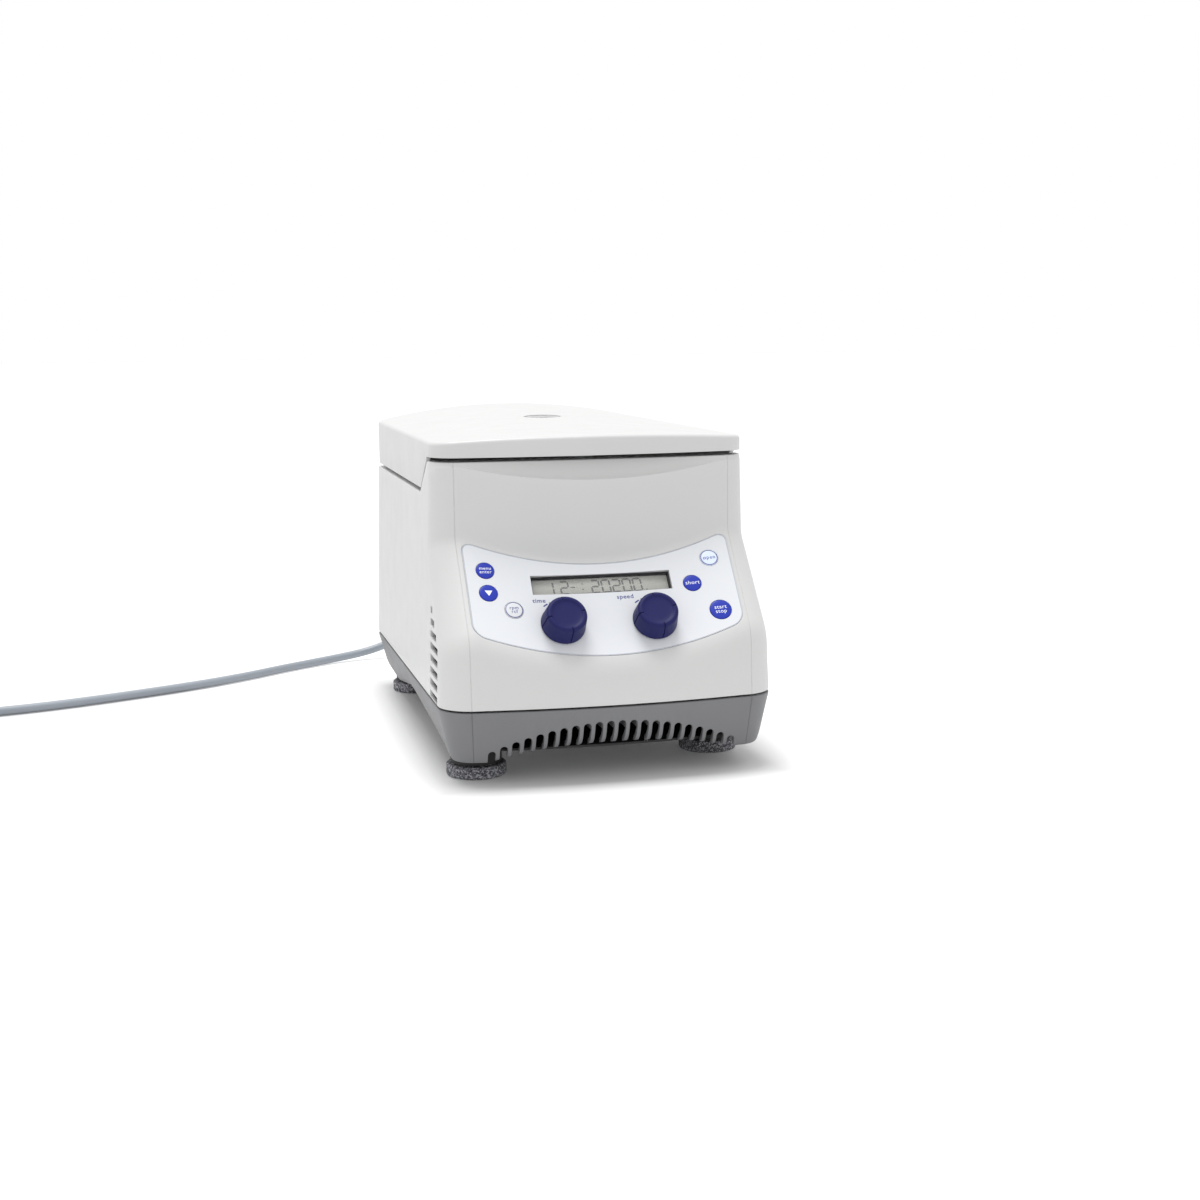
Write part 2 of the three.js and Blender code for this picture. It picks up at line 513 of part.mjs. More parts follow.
// ---- Lid lock and hinge -------------------------------------------------------------------
{
  const lock = solid(box(-16, 16, -113, -92, 168, 207.6))
    .subtract(solid(box(-8.6, 8.6, -110, -96, 176, 215)));
  add('lid_lock', lock, M.black);
  const nose = [[-107, 200.2], [-103, 200.2], [-103, 202.6], [-107, 202.6]];
  const hook = [[-109.6, 184], [-107, 184], ...nose, [-107, 206], [-109.6, 206]];
  add('latch_hook', sidePlate(hook, -2.4, 2.4), M.steel);
  const pinHole = (x0) => solid(crossRod(2.6, x0 - 5, x0 + 13, HINGE.y, HINGE.z));
  for (const [name, side] of [['left', -1], ['right', 1]]) {
    const rear = [[171.5, LEDGE_Z + GAP], [172.5, 197], [176.5, 202.8], [182, 204.5], [183.2, HINGE.z]];
    const front = [[180.5, 212], [175.5, 212], [170.5, 206], [166.5, 198], [166.5, LEDGE_Z + GAP]];
    const x0 = side * 76 - 4;
    const bracket = solid(sidePlate([...rear, ...front], x0, x0 + 8)).subtract(pinHole(x0));
    add(`hinge_bracket_${name}`, bracket, M.steel);
    const arm = [[150, 214.9], [150, 218.2], [181.5, 218.2], [181.5, HINGE.z - 1.5], [179.5, HINGE.z - 3.6],
      [176, HINGE.z - 3.6], [173.5, HINGE.z - 1.5], [172, 214.9]];
    const a0 = side * 66 - 4;
    add(`lid_arm_${name}`, solid(sidePlate(arm, a0, a0 + 8)).subtract(pinHole(a0)), M.steel);
  }
  add('hinge_pin', crossRod(2.3, -82, 82, HINGE.y, HINGE.z, 16), M.steel);
}

// ---- Lid ----------------------------------------------------------------------------------
// Height of the lid's top: an arch across, which rises steadily from the front to the rear.
function crown(x, y) {
  const across = Math.max(0, 1 - (x / 112) ** 2);
  return 224 + across * (3.5 + 0.03 * (y + 141.5));
}
function lidSolid(offset, bottomZ) {
  const outline = ring((x) => ({ y: FRONT_Y - BULGE * arc(x), z: LID_Z, mitre: 0 }), offset);
  const at = (scale, drop) => outline.map((p) => {
    const x = p.x * scale;
    const y = CENTRE_Y + (p.y - CENTRE_Y) * scale;
    return new THREE.Vector3(x, y, crown(x, y) - offset - drop);
  });
  const foot = outline.map((p) => new THREE.Vector3(p.x, p.y, bottomZ));
  const rings = [foot, at(1, 2.4), at(0.995, 0.8), at(0.98, 0)];
  for (const scale of [0.88, 0.76, 0.62, 0.46, 0.3, 0.15]) rings.push(at(scale, 0));
  return solid(loft(rings, { apex: new THREE.Vector3(0, CENTRE_Y, crown(0, CENTRE_Y) - offset) }));
}
{
  const step = [[-107.5, LID_Z], [-73, SKIRT_Z]];
  const corner = [[180, SKIRT_Z], [184.5, 192], [187.5, 198]];
  const under = [[-260, 150], [-260, LID_Z], ...step, ...corner, [220, 198], [220, 150]];
  const shell = lidSolid(0, 180).subtract(lidSolid(2.8, 170))
    .subtract(solid(sidePlate(under, -140, 140)))
    .subtract(solid(box(-105.5, 105.5, 165, 220, 150, 201)))
    .subtract(solid(rod(14.2, 200, 260, 0, CENTRE_Y, 28)));
  add('lid_shell', shell, M.white);
  const windowHole = solid(rod(14.2, 200, 230, 0, CENTRE_Y, 28));
  add('lid_liner', solid(box(-101, 101, -112, 148, 215.6, 217.6)).subtract(windowHole), M.alloy);
  add('lid_window', rod(13.8, 216, crown(0, CENTRE_Y) - 0.5, 0, CENTRE_Y, 28), M.glass);
  const slot = solid(box(-4, 4, -110, -90, 199.5, 203.2));
  add('lid_striker', solid(box(-7.6, 7.6, -102, -98.6, 196, 215.3)).subtract(slot), M.steel);
}

// ---- Mains lead ---------------------------------------------------------------------------
// The lead leaves the connector behind the casing, drops to the bench and runs left and forwards.
const LEAD = [
  [-55, 240.8, 72], [-55, 250, 70.4], [-56, 261, 64.4], [-59, 271, 54.6], [-64, 280, 43], [-71, 287.4, 31.6],
  [-80.5, 292.6, 22], [-92, 295.4, 14.8], [-106, 295.6, 9.6], [-122, 292.6, 6.4], [-142, 285.4, 4.6],
  [-166, 272, 3.8], [-193, 252.6, 3.8], [-222, 230, 3.8], [-252, 210, 3.8], [-283, 193, 3.8], [-314, 178, 3.8],
  [-345, 164.4, 3.8], [-373, 153.4, 3.8], [-398, 145.4, 3.8], [-421, 139.8, 3.8], [-440, 136.8, 3.8],
  [-456.3, 135.5, 3.8],
];
const TAIL = [
  [-525.5, 66.5, 17.3], [-525.5, 60, 16.8], [-525, 53, 15.6], [-524.4, 46, 14.2], [-524, 38, 13.2],
  [-524, 31, 13],
];
function tube(points, steps) {
  const section = new THREE.Shape();
  const sides = 8;
  for (let i = 0; i < sides; i++) {
    const a = 2 * Math.PI * i / sides;
    const p = new THREE.Vector2(CORD_R * Math.cos(a), CORD_R * Math.sin(a));
    if (i === 0) section.moveTo(p.x, p.y);
    else section.lineTo(p.x, p.y);
  }
  const path = new THREE.CatmullRomCurve3(points.map((p) => new THREE.Vector3(...p)));
  return new THREE.ExtrudeGeometry(section, { steps, extrudePath: path, bevelEnabled: false });
}
add('cord_run', tube(LEAD, 30), M.cord);
{
  const { inner, outer, height } = COIL;
  const section = [[inner, 0.1], [outer, 0.1], [outer, height], [inner, height]];
  add('cord_coil', turned(section, COIL.x, COIL.y, 32), M.cord);
}
add('cord_tail', tube(TAIL, 5), M.cord);
{
  const along = turned([[0, 0], [11, 0], [11, 26], [6.2, 30], [5, 52], [0, 52]], 0, 0, 16);
  along.rotateX(-Math.PI / 2);
  along.scale(1.15, 1, 0.8);
  along.translate(INLET.x, REAR + 0.9, inletZ);
  const connector = solid(along).subtract(solid(rod(30, 0, 20, INLET.x, 200)));
  add('appliance_connector', connector, M.cord);
  const plug = box(-543, -504, -8, 30, 0.3, 26);
  add('mains_plug', plug, M.cord);
}

export default group;
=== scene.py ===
"""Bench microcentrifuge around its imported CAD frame: casing, keypad panel, knobs, rotor and mains lead.

Shapes are worked out in millimetres, in the frame's own axes, and written to meshes in metres.
"""
import json
import math

import bmesh
import bpy
from mathutils import Matrix, Vector


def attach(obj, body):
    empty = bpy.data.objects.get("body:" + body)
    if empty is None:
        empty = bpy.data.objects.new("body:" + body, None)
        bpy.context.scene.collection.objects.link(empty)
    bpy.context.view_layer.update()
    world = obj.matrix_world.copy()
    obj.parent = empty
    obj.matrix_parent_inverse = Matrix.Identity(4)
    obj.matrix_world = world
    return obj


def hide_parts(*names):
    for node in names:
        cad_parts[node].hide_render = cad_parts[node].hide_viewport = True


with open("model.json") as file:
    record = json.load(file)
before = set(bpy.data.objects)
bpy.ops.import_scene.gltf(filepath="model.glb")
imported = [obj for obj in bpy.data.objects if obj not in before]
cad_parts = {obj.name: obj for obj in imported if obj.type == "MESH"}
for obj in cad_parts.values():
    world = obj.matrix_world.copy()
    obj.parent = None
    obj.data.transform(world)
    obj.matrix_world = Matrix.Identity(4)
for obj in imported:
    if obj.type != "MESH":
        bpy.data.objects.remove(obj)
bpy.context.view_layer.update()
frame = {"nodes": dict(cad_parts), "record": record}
NODES = frame["nodes"]

# ---- Sizes, in millimetres ------------------------------------------------------------------
MM = 0.001
WALL = 3.0
HALF_TOP = 110.0
HALF_BASE = 115.0
FLAT_HALF = 90.0
SEAM_HALF = 96.0
REAR = 187.0
REAR_R = 12.0
JOINT_FRONT_Z = 52.0
JOINT_REAR_Z = 46.0
JOINT_GAP = 1.2
DECK_Z = 211.0
LID_Z = 214.0
SKIRT_Z = 190.0
LEDGE_Z = 187.0
FRONT_Y = -133.0
PANEL_FOOT_Y = -184.5
BULGE = 8.5
UPPER_Z, UPPER_DIP = 162.0, 19.6
LOWER_Z, LOWER_DIP = 99.0, 18.5
MITRE = -0.361
CENTRE_Y = 32.0
BOWL_R = 93.0
ROTOR_Z = 140.0
KNOB_X, KNOB_S = 31.6, 0.645
DISPLAY_HALF, DISPLAY_HIGH, DISPLAY_S = 48.5, 7.46, 0.229
FOOT_X = 86.6
# The front right foot stands further back than the left one.
FEET = [(-FOOT_X, -143.0), (FOOT_X, -115.0), (-FOOT_X, 148.0), (FOOT_X, 148.0)]
FRONT_RISE = 9.0  # how far the base's lower edge arches up along the front
BASE_TAPER = 7.5  # how far the base's walls lean in from the joint to their lower edge
FOOT_R, FOOT_H = 20.5, 8.5
BASE_Z = 16.0
SLOT_COUNT, SLOT_HALF, SLOT_R, SLOT_TOP, SLOT_FALL = 22, 82.4, 2.7, 42.0, 18.0
ARCH_FRONT, ARCH_PEAK, ARCH_REAR, ARCH_RISE = -165.0, 5.0, 100.0, 15.5
INLET_X, INLET_Z = -55.0, 72.0
COIL_X, COIL_Y = -482.0, 92.0
HINGE_Y, HINGE_Z = 178.0, 208.0
CORD_R = 3.5
KEYS = {
    "menu_key": (-78.8, 0.255, 6.2, "key_blue"),
    "down_key": (-78.7, 0.471, 6.2, "key_blue"),
    "unit_key": (-63.1, 0.575, 6.2, "key_white"),
    "open_key": (78.0, 0.22, 6.2, "key_pale_blue"),
    "short_key": (62.7, 0.393, 6.2, "key_blue"),
    "start_key": (78.1, 0.731, 7.4, "key_blue"),
}


# ---- Materials ------------------------------------------------------------------------------
MATERIALS = {}


class Nodes:
    """A node tree with short calls for the links that the materials below repeat."""

    def __init__(self, name):
        self.material = bpy.data.materials.new(name)
        MATERIALS[name] = self.material
        self.material.use_nodes = True
        self.tree = self.material.node_tree
        self.shader = self.tree.nodes["Principled BSDF"]
        self.coords = self.add("ShaderNodeTexCoord").outputs["Object"]

    def add(self, kind, inputs=None, **settings):
        node = self.tree.nodes.new(kind)
        for key, value in settings.items():
            setattr(node, key, value)
        for key, value in (inputs or {}).items():
            if isinstance(value, bpy.types.NodeSocket):
                self.tree.links.new(value, node.inputs[key])
            else:
                node.inputs[key].default_value = value
        return node

    def noise(self, scale, detail=2.0, roughness=0.5, coords=None):
        values = {"Vector": coords or self.coords, "Scale": scale, "Detail": detail, "Roughness": roughness}
        return self.add("ShaderNodeTexNoise", values).outputs["Fac"]

    def ramp(self, factor, stops):
        node = self.add("ShaderNodeValToRGB", {"Fac": factor})
        elements = node.color_ramp.elements
        while len(elements) < len(stops):
            elements.new(0.5)
        for element, (place, colour) in zip(elements, stops):
            element.position = place
            element.color = (*colour, 1.0)
        return node.outputs["Color"]

    def bump(self, height, strength, distance, normal=None):
        values = {"Height": height, "Strength": strength, "Distance": distance}
        if normal is not None:
            values["Normal"] = normal
        return self.add("ShaderNodeBump", values).outputs["Normal"]

    def set(self, **sockets):
        for name, value in sockets.items():
            socket = self.shader.inputs[name.replace("_", " ")]
            if isinstance(value, bpy.types.NodeSocket):
                self.tree.links.new(value, socket)
            else:
                socket.default_value = value
        return self.material


def shade(colour, factor):
    return tuple(min(1.0, c * factor) for c in colour)


def moulded(name, colour, roughness, grain=0.00035, variation=0.03, depth=0.00002, specular=0.5):
    """Moulded plastic: fine spark-eroded grain, slight colour drift and uneven gloss."""
    n = Nodes(name)
    drift = n.noise(9.0, 3.0)
    base = n.ramp(drift, [(0.3, shade(colour, 1 - variation)), (0.7, shade(colour, 1 + variation))])
    gloss = n.ramp(n.noise(60.0, 4.0), [(0.3, (roughness - 0.04,) * 3), (0.7, (roughness + 0.04,) * 3)])
    fine = n.noise(0.45 / grain, 3.0, 0.6)
    normal = n.bump(fine, 0.35, depth)
    wave = n.bump(n.noise(14.0, 1.0), 0.05, 0.0006, normal)
    return n.set(Base_Color=base, Roughness=gloss, Normal=wave, Specular_IOR_Level=specular)


def metal(name, colour, roughness, stretch=(1, 1, 1), depth=0.000015, scale=900.0):
    """Metal with fine machining or brushing marks, drawn out along the axes with a small stretch."""
    n = Nodes(name)
    mapping = n.add("ShaderNodeMapping", {"Vector": n.coords, "Scale": stretch}).outputs["Vector"]
    marks = n.noise(scale, 4.0, 0.6, mapping)
    gloss = n.ramp(marks, [(0.3, (roughness - 0.06,) * 3), (0.7, (roughness + 0.08,) * 3)])
    base = n.ramp(n.noise(25.0, 3.0), [(0.35, shade(colour, 0.94)), (0.65, shade(colour, 1.04))])
    return n.set(Base_Color=base, Roughness=gloss, Metallic=1.0, Normal=n.bump(marks, 0.3, depth))


def speckled_rubber(name):
    """Bonded rubber crumb: dark and light grains pressed together, with a pitted surface."""
    n = Nodes(name)
    cells = n.add("ShaderNodeTexVoronoi", {"Vector": n.coords, "Scale": 1150.0, "Randomness": 1.0})
    crumb = n.add("ShaderNodeSeparateColor", {"Color": cells.outputs["Color"]}).outputs["Red"]
    tones = [(0.0, (0.03, 0.03, 0.035)), (0.34, (0.075, 0.075, 0.085)), (0.62, (0.15, 0.15, 0.165)),
             (0.86, (0.36, 0.36, 0.39))]
    base = n.ramp(crumb, tones)
    pits = n.bump(cells.outputs["Distance"], 0.6, 0.0004)
    return n.set(Base_Color=base, Roughness=0.85, Normal=n.bump(n.noise(1500.0, 3.0), 0.3, 0.0001, pits))


def clear_glass(name, tint, roughness):
    n = Nodes(name)
    haze = n.ramp(n.noise(40.0, 3.0), [(0.3, (roughness,) * 3), (0.7, (roughness + 0.05,) * 3)])
    return n.set(Base_Color=(*tint, 1.0), Roughness=haze, Transmission_Weight=1.0, IOR=1.49)


def thin_pane(name, tint, roughness):
    """A thin clear pane that lets light and shadow straight through, with a soft reflection."""
    n = Nodes(name)
    haze = n.ramp(n.noise(40.0, 3.0), [(0.3, (roughness,) * 3), (0.7, (roughness + 0.05,) * 3)])
    return n.set(Base_Color=(*tint, 1.0), Roughness=haze, Alpha=0.1, IOR=1.49)


def lcd_face(name):
    """Reflective display: grey-green backing with a faint electrode pattern."""
    n = Nodes(name)
    base = n.ramp(n.noise(12.0, 2.0), [(0.3, (0.345, 0.34, 0.305)), (0.7, (0.395, 0.39, 0.35))])
    haze = n.ramp(n.noise(300.0, 2.0), [(0.3, (0.5,) * 3), (0.7, (0.56,) * 3)])
    return n.set(Base_Color=base, Roughness=haze)


def ink(name, colour, roughness=0.4):
    """Screen-printed ink, with the slight unevenness of a printed coat."""
    n = Nodes(name)
    base = n.ramp(n.noise(200.0, 3.0), [(0.3, shade(colour, 0.94)), (0.7, shade(colour, 1.06))])
    return n.set(Base_Color=base, Roughness=roughness, Normal=n.bump(n.noise(2500.0, 2.0), 0.15, 0.00001))


WHITE = (0.548, 0.548, 0.545)
moulded("housing_white", WHITE, 0.42, variation=0.012)
moulded("base_grey", (0.151, 0.152, 0.158), 0.5, variation=0.03)
moulded("inside_grey", (0.16, 0.16, 0.165), 0.7, variation=0.1)
moulded("keypad_foil", (0.63, 0.645, 0.672), 0.36, grain=0.0002, variation=0.006, depth=0.000008)
ink("foil_edge", (0.36, 0.39, 0.46))
thin_pane("display_glass", (0.8, 0.82, 0.82), 0.1)
clear_glass("lid_window_glass", (0.9, 0.93, 0.95), 0.03)
lcd_face("lcd")
ink("lcd_digit", (0.035, 0.04, 0.035), 0.3)
moulded("circuit_board", (0.03, 0.16, 0.07), 0.35, variation=0.12)
metal("chamber_steel", (0.62, 0.63, 0.64), 0.3, (1, 1, 12))
moulded("black_rubber", (0.022, 0.022, 0.024), 0.75, variation=0.1)
metal("motor_alloy", (0.5, 0.51, 0.53), 0.45)
metal("zinc_steel", (0.58, 0.59, 0.61), 0.38)
metal("ground_steel", (0.66, 0.67, 0.68), 0.22, (1, 1, 8))
metal("rotor_alloy", (0.55, 0.56, 0.58), 0.34, (1, 1, 20))
moulded("black_plastic", (0.02, 0.02, 0.023), 0.42, variation=0.08)
metal("liner_metal", (0.62, 0.63, 0.64), 0.35, (18, 1, 1))
moulded("knob_navy", (0.013, 0.014, 0.082), 0.46, grain=0.00025, variation=0.05, specular=0.14)
moulded("key_blue", (0.018, 0.036, 0.36), 0.36, grain=0.0002, variation=0.04, specular=0.25)
moulded("key_white", (0.62, 0.635, 0.66), 0.36, grain=0.0002, variation=0.006, depth=0.000008)
moulded("key_pale_blue", (0.66, 0.74, 0.92), 0.34, grain=0.0002, variation=0.02, depth=0.000008)
ink("ink_blue", (0.012, 0.022, 0.2))
ink("ink_white", (0.86, 0.88, 0.93))
moulded("cord_grey", (0.275, 0.302, 0.338), 0.4, grain=0.0003, variation=0.04)
moulded("plug_grey", (0.24, 0.28, 0.32), 0.42, variation=0.04)
speckled_rubber("foot_rubber")
# Near-black painted shade: the base's inside walls, its foot bosses and the plate under it are drawn in it
# where only shadow shows.
moulded("painted_shade_black", (0.012, 0.012, 0.013), 0.7, variation=0.2)
metal("copper", (0.75, 0.32, 0.14), 0.35, (1, 1, 30))


# ---- Mesh helpers ---------------------------------------------------------------------------
def smooth_by_angle(mesh, degrees=32.0):
    """Smooth shading that keeps the edges sharper than the angle."""
    work = bmesh.new()
    work.from_mesh(mesh)
    limit = math.radians(degrees)
    for face in work.faces:
        face.smooth = True
    for edge in work.edges:
        edge.smooth = len(edge.link_faces) == 2 and edge.calc_face_angle(0.0) < limit
    work.to_mesh(mesh)
    work.free()


def mesh_object(name, points, faces, scale=MM):
    """An object from points in millimetres."""
    mesh = bpy.data.meshes.new(name)
    mesh.from_pydata([tuple(c * scale for c in p) for p in points], [], faces)
    mesh.validate()
    mesh.update()
    piece = bpy.data.objects.new(name, mesh)
    bpy.context.scene.collection.objects.link(piece)
    return piece


def finish_piece(piece, material, body, replaced=(), degrees=32.0, inside=None):
    """Gives a piece its material, shading, body and the CAD nodes that it stands for."""
    marks = [0]
    if piece.type == "MESH":
        smooth_by_angle(piece.data, degrees)
        marks = [face.material_index for face in piece.data.polygons]
    piece.data.materials.clear()
    piece.data.materials.append(MATERIALS[material])
    if inside:
        piece.data.materials.append(MATERIALS[inside])
        piece.data.polygons.foreach_set("material_index", marks)
    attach(piece, body)
    if replaced:
        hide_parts(*replaced)
    return piece


def loft(rings, apex=None):
    """Points and faces of a closed skin through rings of equal length, ending in an apex if there is one."""
    n = len(rings[0])
    points = [p for ring in rings for p in ring]
    faces = []
    for k in range(len(rings) - 1):
        for i in range(n):
            a, b = k * n + i, k * n + (i + 1) % n
            faces.append((a, b, b + n, a + n))
    faces.append(tuple(range(n - 1, -1, -1)))
    base = (len(rings) - 1) * n
    if apex is None:
        faces.append(tuple(range(base, base + n)))
    else:
        points.append(apex)
        faces += [(base + i, base + (i + 1) % n, len(points) - 1) for i in range(n)]
    return points, faces


def turned(outline, sides=96, x=0.0, y=0.0):
    """Points and faces of a solid turned about +Z from (radius, z) points."""
    rings = []
    for i in range(sides):
        a = 2 * math.pi * i / sides
        rings.append([(x + r * math.cos(a), y + r * math.sin(a), z) for r, z in outline])
    n = len(outline)
    points = [p for ring in rings for p in ring]
    faces = []
    for i in range(sides):
        for k in range(n):
            a = i * n + k
            b = i * n + (k + 1) % n
            c = (i + 1) % sides * n
            faces.append((a, c + k, c + (k + 1) % n, b))
    return points, faces


def weld(piece, distance=1e-6):
    """Merges doubled points, drops faces without area and turns every face outwards."""
    work = bmesh.new()
    work.from_mesh(piece.data)
    bmesh.ops.remove_doubles(work, verts=work.verts, dist=distance)
    bmesh.ops.dissolve_degenerate(work, dist=distance * 0.5, edges=work.edges)
    bmesh.ops.recalc_face_normals(work, faces=work.faces)
    work.to_mesh(piece.data)
    work.free()
    return piece


def solid(name, points_faces, move=None):
    piece = mesh_object(name, *points_faces)
    if move is not None:
        piece.data.transform(move)
    return weld(piece)


def turned_solid(name, outline, sides=96, x=0.0, y=0.0, move=None):
    return solid(name, turned(outline, sides, x, y), move)


def rod(radius, low, high):
    """The outline that turns into a plain cylinder."""
    return [(0, low), (radius, low), (radius, high), (0, high)]


def rounded_rectangle(u0, u1, v0, v1, r, steps):
    """A rectangle's outline with rounded corners."""
    points = []
    for u, v, start in ((u1 - r, v1 - r, 0), (u0 + r, v1 - r, 1), (u0 + r, v0 + r, 2), (u1 - r, v0 + r, 3)):
        for k in range(steps + 1):
            a = math.pi / 2 * (start + k / steps)
            points.append((u + r * math.cos(a), v + r * math.sin(a)))
    return points


def box_faces(x0, x1, y0, y1, z0, z1):
    points = [(x, y, z) for z in (z0, z1) for x, y in ((x0, y0), (x1, y0), (x1, y1), (x0, y1))]
    faces = [(3, 2, 1, 0), (4, 5, 6, 7)] + [(i, (i + 1) % 4, (i + 1) % 4 + 4, i + 4) for i in range(4)]
    return points, faces


def prism(outline, place, low, high):
    """A straight solid over a flat outline; place(u, v, depth) puts each point."""
    return loft([[place(u, v, d) for u, v in outline] for d in (low, high)])


def flat_prism(outline, low, high):
    return prism(outline, lambda u, v, d: (u, v, d), low, high)


def joined(name, parts):
    """One object from several (points, faces) sets."""
    points, faces = [], []
    for p, f in parts:
        base = len(points)
        points += list(p)
        faces += [tuple(i + base for i in face) for face in f]
    return weld(mesh_object(name, points, faces), 1e-7)


def mark_inside(*pieces):
    """Gives every face the second material, which cuts carry over to the surfaces that they leave."""
    for piece in pieces:
        # The second material is the near-black painted shade, unless finish_piece is later given another for
        # the inside.
        while len(piece.data.materials) < 2:
            piece.data.materials.append(MATERIALS["painted_shade_black"])
        piece.data.polygons.foreach_set("material_index", [1] * len(piece.data.polygons))


def cut(piece, cutter, operation="DIFFERENCE"):
    """Applies a boolean to a piece and deletes the cutter."""
    modifier = piece.modifiers.new("cut", "BOOLEAN")
    modifier.object = cutter
    modifier.solver = "MANIFOLD"
    modifier.operation = operation
    apply_modifiers(piece)
    bpy.data.objects.remove(cutter)
    return piece


def apply_modifiers(piece):
    bpy.context.view_layer.update()
    evaluated = piece.evaluated_get(bpy.context.evaluated_depsgraph_get())
    mesh = bpy.data.meshes.new_from_object(evaluated)
    piece.modifiers.clear()
    old = piece.data
    piece.data = mesh
    bpy.data.meshes.remove(old)
    return piece


def bevel(piece, width, segments=2, degrees=50.0):
    """Rounds a piece's sharp edges."""
    modifier = piece.modifiers.new("bevel", "BEVEL")
    modifier.width = width * MM
    modifier.segments = segments
    modifier.limit_method = "ANGLE"
    modifier.angle_limit = math.radians(degrees)
    return apply_modifiers(piece)


def matrix_of(axes, origin):
    """The matrix whose columns are the axes and the origin."""
    m = Matrix.Identity(4)
    for column, axis in enumerate(axes):
        for row in range(3):
            m[row][column] = axis[row]
    m.translation = origin
    return m


def spoke(angle):
    """Unit vectors outwards and across at an angle about +Z."""
    out = Vector((math.cos(angle), math.sin(angle), 0))
    return out, Vector((-out.y, out.x, 0))


def on_spoke(angle, x=0.0, y=0.0):
    """A placing function for prism(): u outwards at the angle from (x, y), v up and d across."""
    centre = Vector((x, y, 0))
    out, across = spoke(angle)
    return lambda u, v, d: tuple(centre + out * u + across * d + Vector((0, 0, v)))


def lerp(a, b, t):
    return a + (b - a) * t


def smoothstep(value, low, high):
    t = min(1.0, max(0.0, (value - low) / (high - low)))
    return t * t * (3 - 2 * t)


# ---- The casing's skin ----------------------------------------------------------------------
def half_width(z):
    return HALF_BASE - (HALF_BASE - HALF_TOP) * (z - JOINT_FRONT_Z) / (215.0 - JOINT_FRONT_Z)


def arc(x):
    return 1 - (x / SEAM_HALF) ** 2


def joint_z(y):
    return lerp(JOINT_FRONT_Z, JOINT_REAR_Z, (y + 190) / (REAR + 190))


def upper_z(x):
    return UPPER_Z - UPPER_DIP * arc(x)


def lower_z(x):
    return LOWER_Z - LOWER_DIP * arc(x)


def joint_front(x, drop=0.0):
    """The front's line along the joint of the casing's two halves, as (y, z, mitre)."""
    return (PANEL_FOOT_Y - 2 - BULGE * arc(x), JOINT_FRONT_Z - drop, 0)


SEAM_WIDTH, SEAM_DEPTH = 0.34, 0.32
FRONT_STEPS = 36
FILLET_STEPS = 14
SIDE_STEPS = 16
REAR_STEPS = 14


def ring(front, offset=0.0, seams=True):
    """One level of the casing, anticlockwise from above, starting in the middle of the front."""
    right = []
    for i in range(FRONT_STEPS + 1):
        x = FLAT_HALF * i / FRONT_STEPS
        y, z, mitre = front(x)
        right.append((x, y + offset, z + mitre * offset))
    cy, cz, mitre = front(FLAT_HALF)
    radius = half_width(cz) - FLAT_HALF
    dip = SEAM_DEPTH if seams else 0.0
    stops = [(math.asin((x - FLAT_HALF) / radius), d) for x, d in (
        (SEAM_HALF - 3, 0), (SEAM_HALF - SEAM_WIDTH, 0), (SEAM_HALF - SEAM_WIDTH * 0.4, dip),
        (SEAM_HALF + SEAM_WIDTH * 0.4, dip), (SEAM_HALF + SEAM_WIDTH, 0))]
    first = stops[-1][0]
    stops += [(lerp(first, math.pi / 2, i / FILLET_STEPS), 0) for i in range(1, FILLET_STEPS + 1)]
    z = cz
    for angle, groove in stops:
        depth = offset + groove
        inward = radius * (1 - math.cos(angle)) + depth * math.cos(angle)
        z = cz + mitre * inward
        x = FLAT_HALF + (half_width(z) - FLAT_HALF - depth) * math.sin(angle)
        right.append((x, cy + inward, z))
    side_y = right[-1][1]
    r = max(1.0, REAR_R - offset)
    rear_start = REAR - offset - r
    side_x = half_width(z) - offset
    for i in range(1, SIDE_STEPS):
        right.append((side_x, lerp(side_y, rear_start, i / SIDE_STEPS), z))
    for i in range(9):
        a = math.pi / 2 * i / 8
        right.append((side_x - r + r * math.cos(a), rear_start + r * math.sin(a), z))
    end = right[-1][0]
    for i in range(1, REAR_STEPS + 1):
        right.append((end * (1 - i / REAR_STEPS), REAR - offset, z))
    left = [(-x, y, z) for x, y, z in reversed(right[1:-1])]
    return right + left


def eased(start, middle, finish, reach, steps):
    """Points round a corner: a curve that starts and ends at that reach from it."""
    a = Vector((start[0] - middle[0], start[1] - middle[1])).normalized() * reach
    b = Vector((finish[0] - middle[0], finish[1] - middle[1])).normalized() * reach
    out = []
    for i in range(steps + 1):
        t = i / steps
        bend = a * (1 - t) ** 2 + b * t ** 2
        out.append((middle[0] + bend.x, middle[1] + bend.y, MITRE))
    return out


def front_rows(x):
    """The front's profile at x from the joint up to the deck, as (y, z, mitre)."""
    q = arc(x)
    top = (FRONT_Y - BULGE * q, upper_z(x))
    foot = (PANEL_FOOT_Y - BULGE * q, lower_z(x))
    base = (foot[0] - 2, JOINT_FRONT_Z)
    scoop = max(0.0, 1 - (x / 98) ** 2)
    rows = []
    for t in (0.0, 0.25, 0.5, 0.75):
        rows.append((lerp(base[0], foot[0], t), lerp(JOINT_FRONT_Z + 3, foot[1] - 9, t), MITRE * t))
    lower = eased(base, foot, top, 9, 8)
    upper = eased(foot, top, (top[0], DECK_Z), 4, 6)
    rows += lower
    for i in range(1, 12):
        t = i / 12
        rows.append((lerp(lower[-1][0], upper[0][0], t), lerp(lower[-1][1], upper[0][1], t), MITRE))
    rows += upper
    crease = DECK_Z - 1.5 - 12.0 * scoop
    for i in range(1, 8):
        t = i / 8
        rows.append((top[0], lerp(upper[-1][1], crease, t), MITRE * (1 - t)))
    rows.append((top[0], crease, 0))
    depth = 6.5 * scoop
    for t in (0.06, 0.14, 0.25, 0.4, 0.6, 0.8, 1.0):
        rows.append((top[0] + depth * t ** 0.6, lerp(crease, DECK_Z - 0.9, t), 0))
    return rows


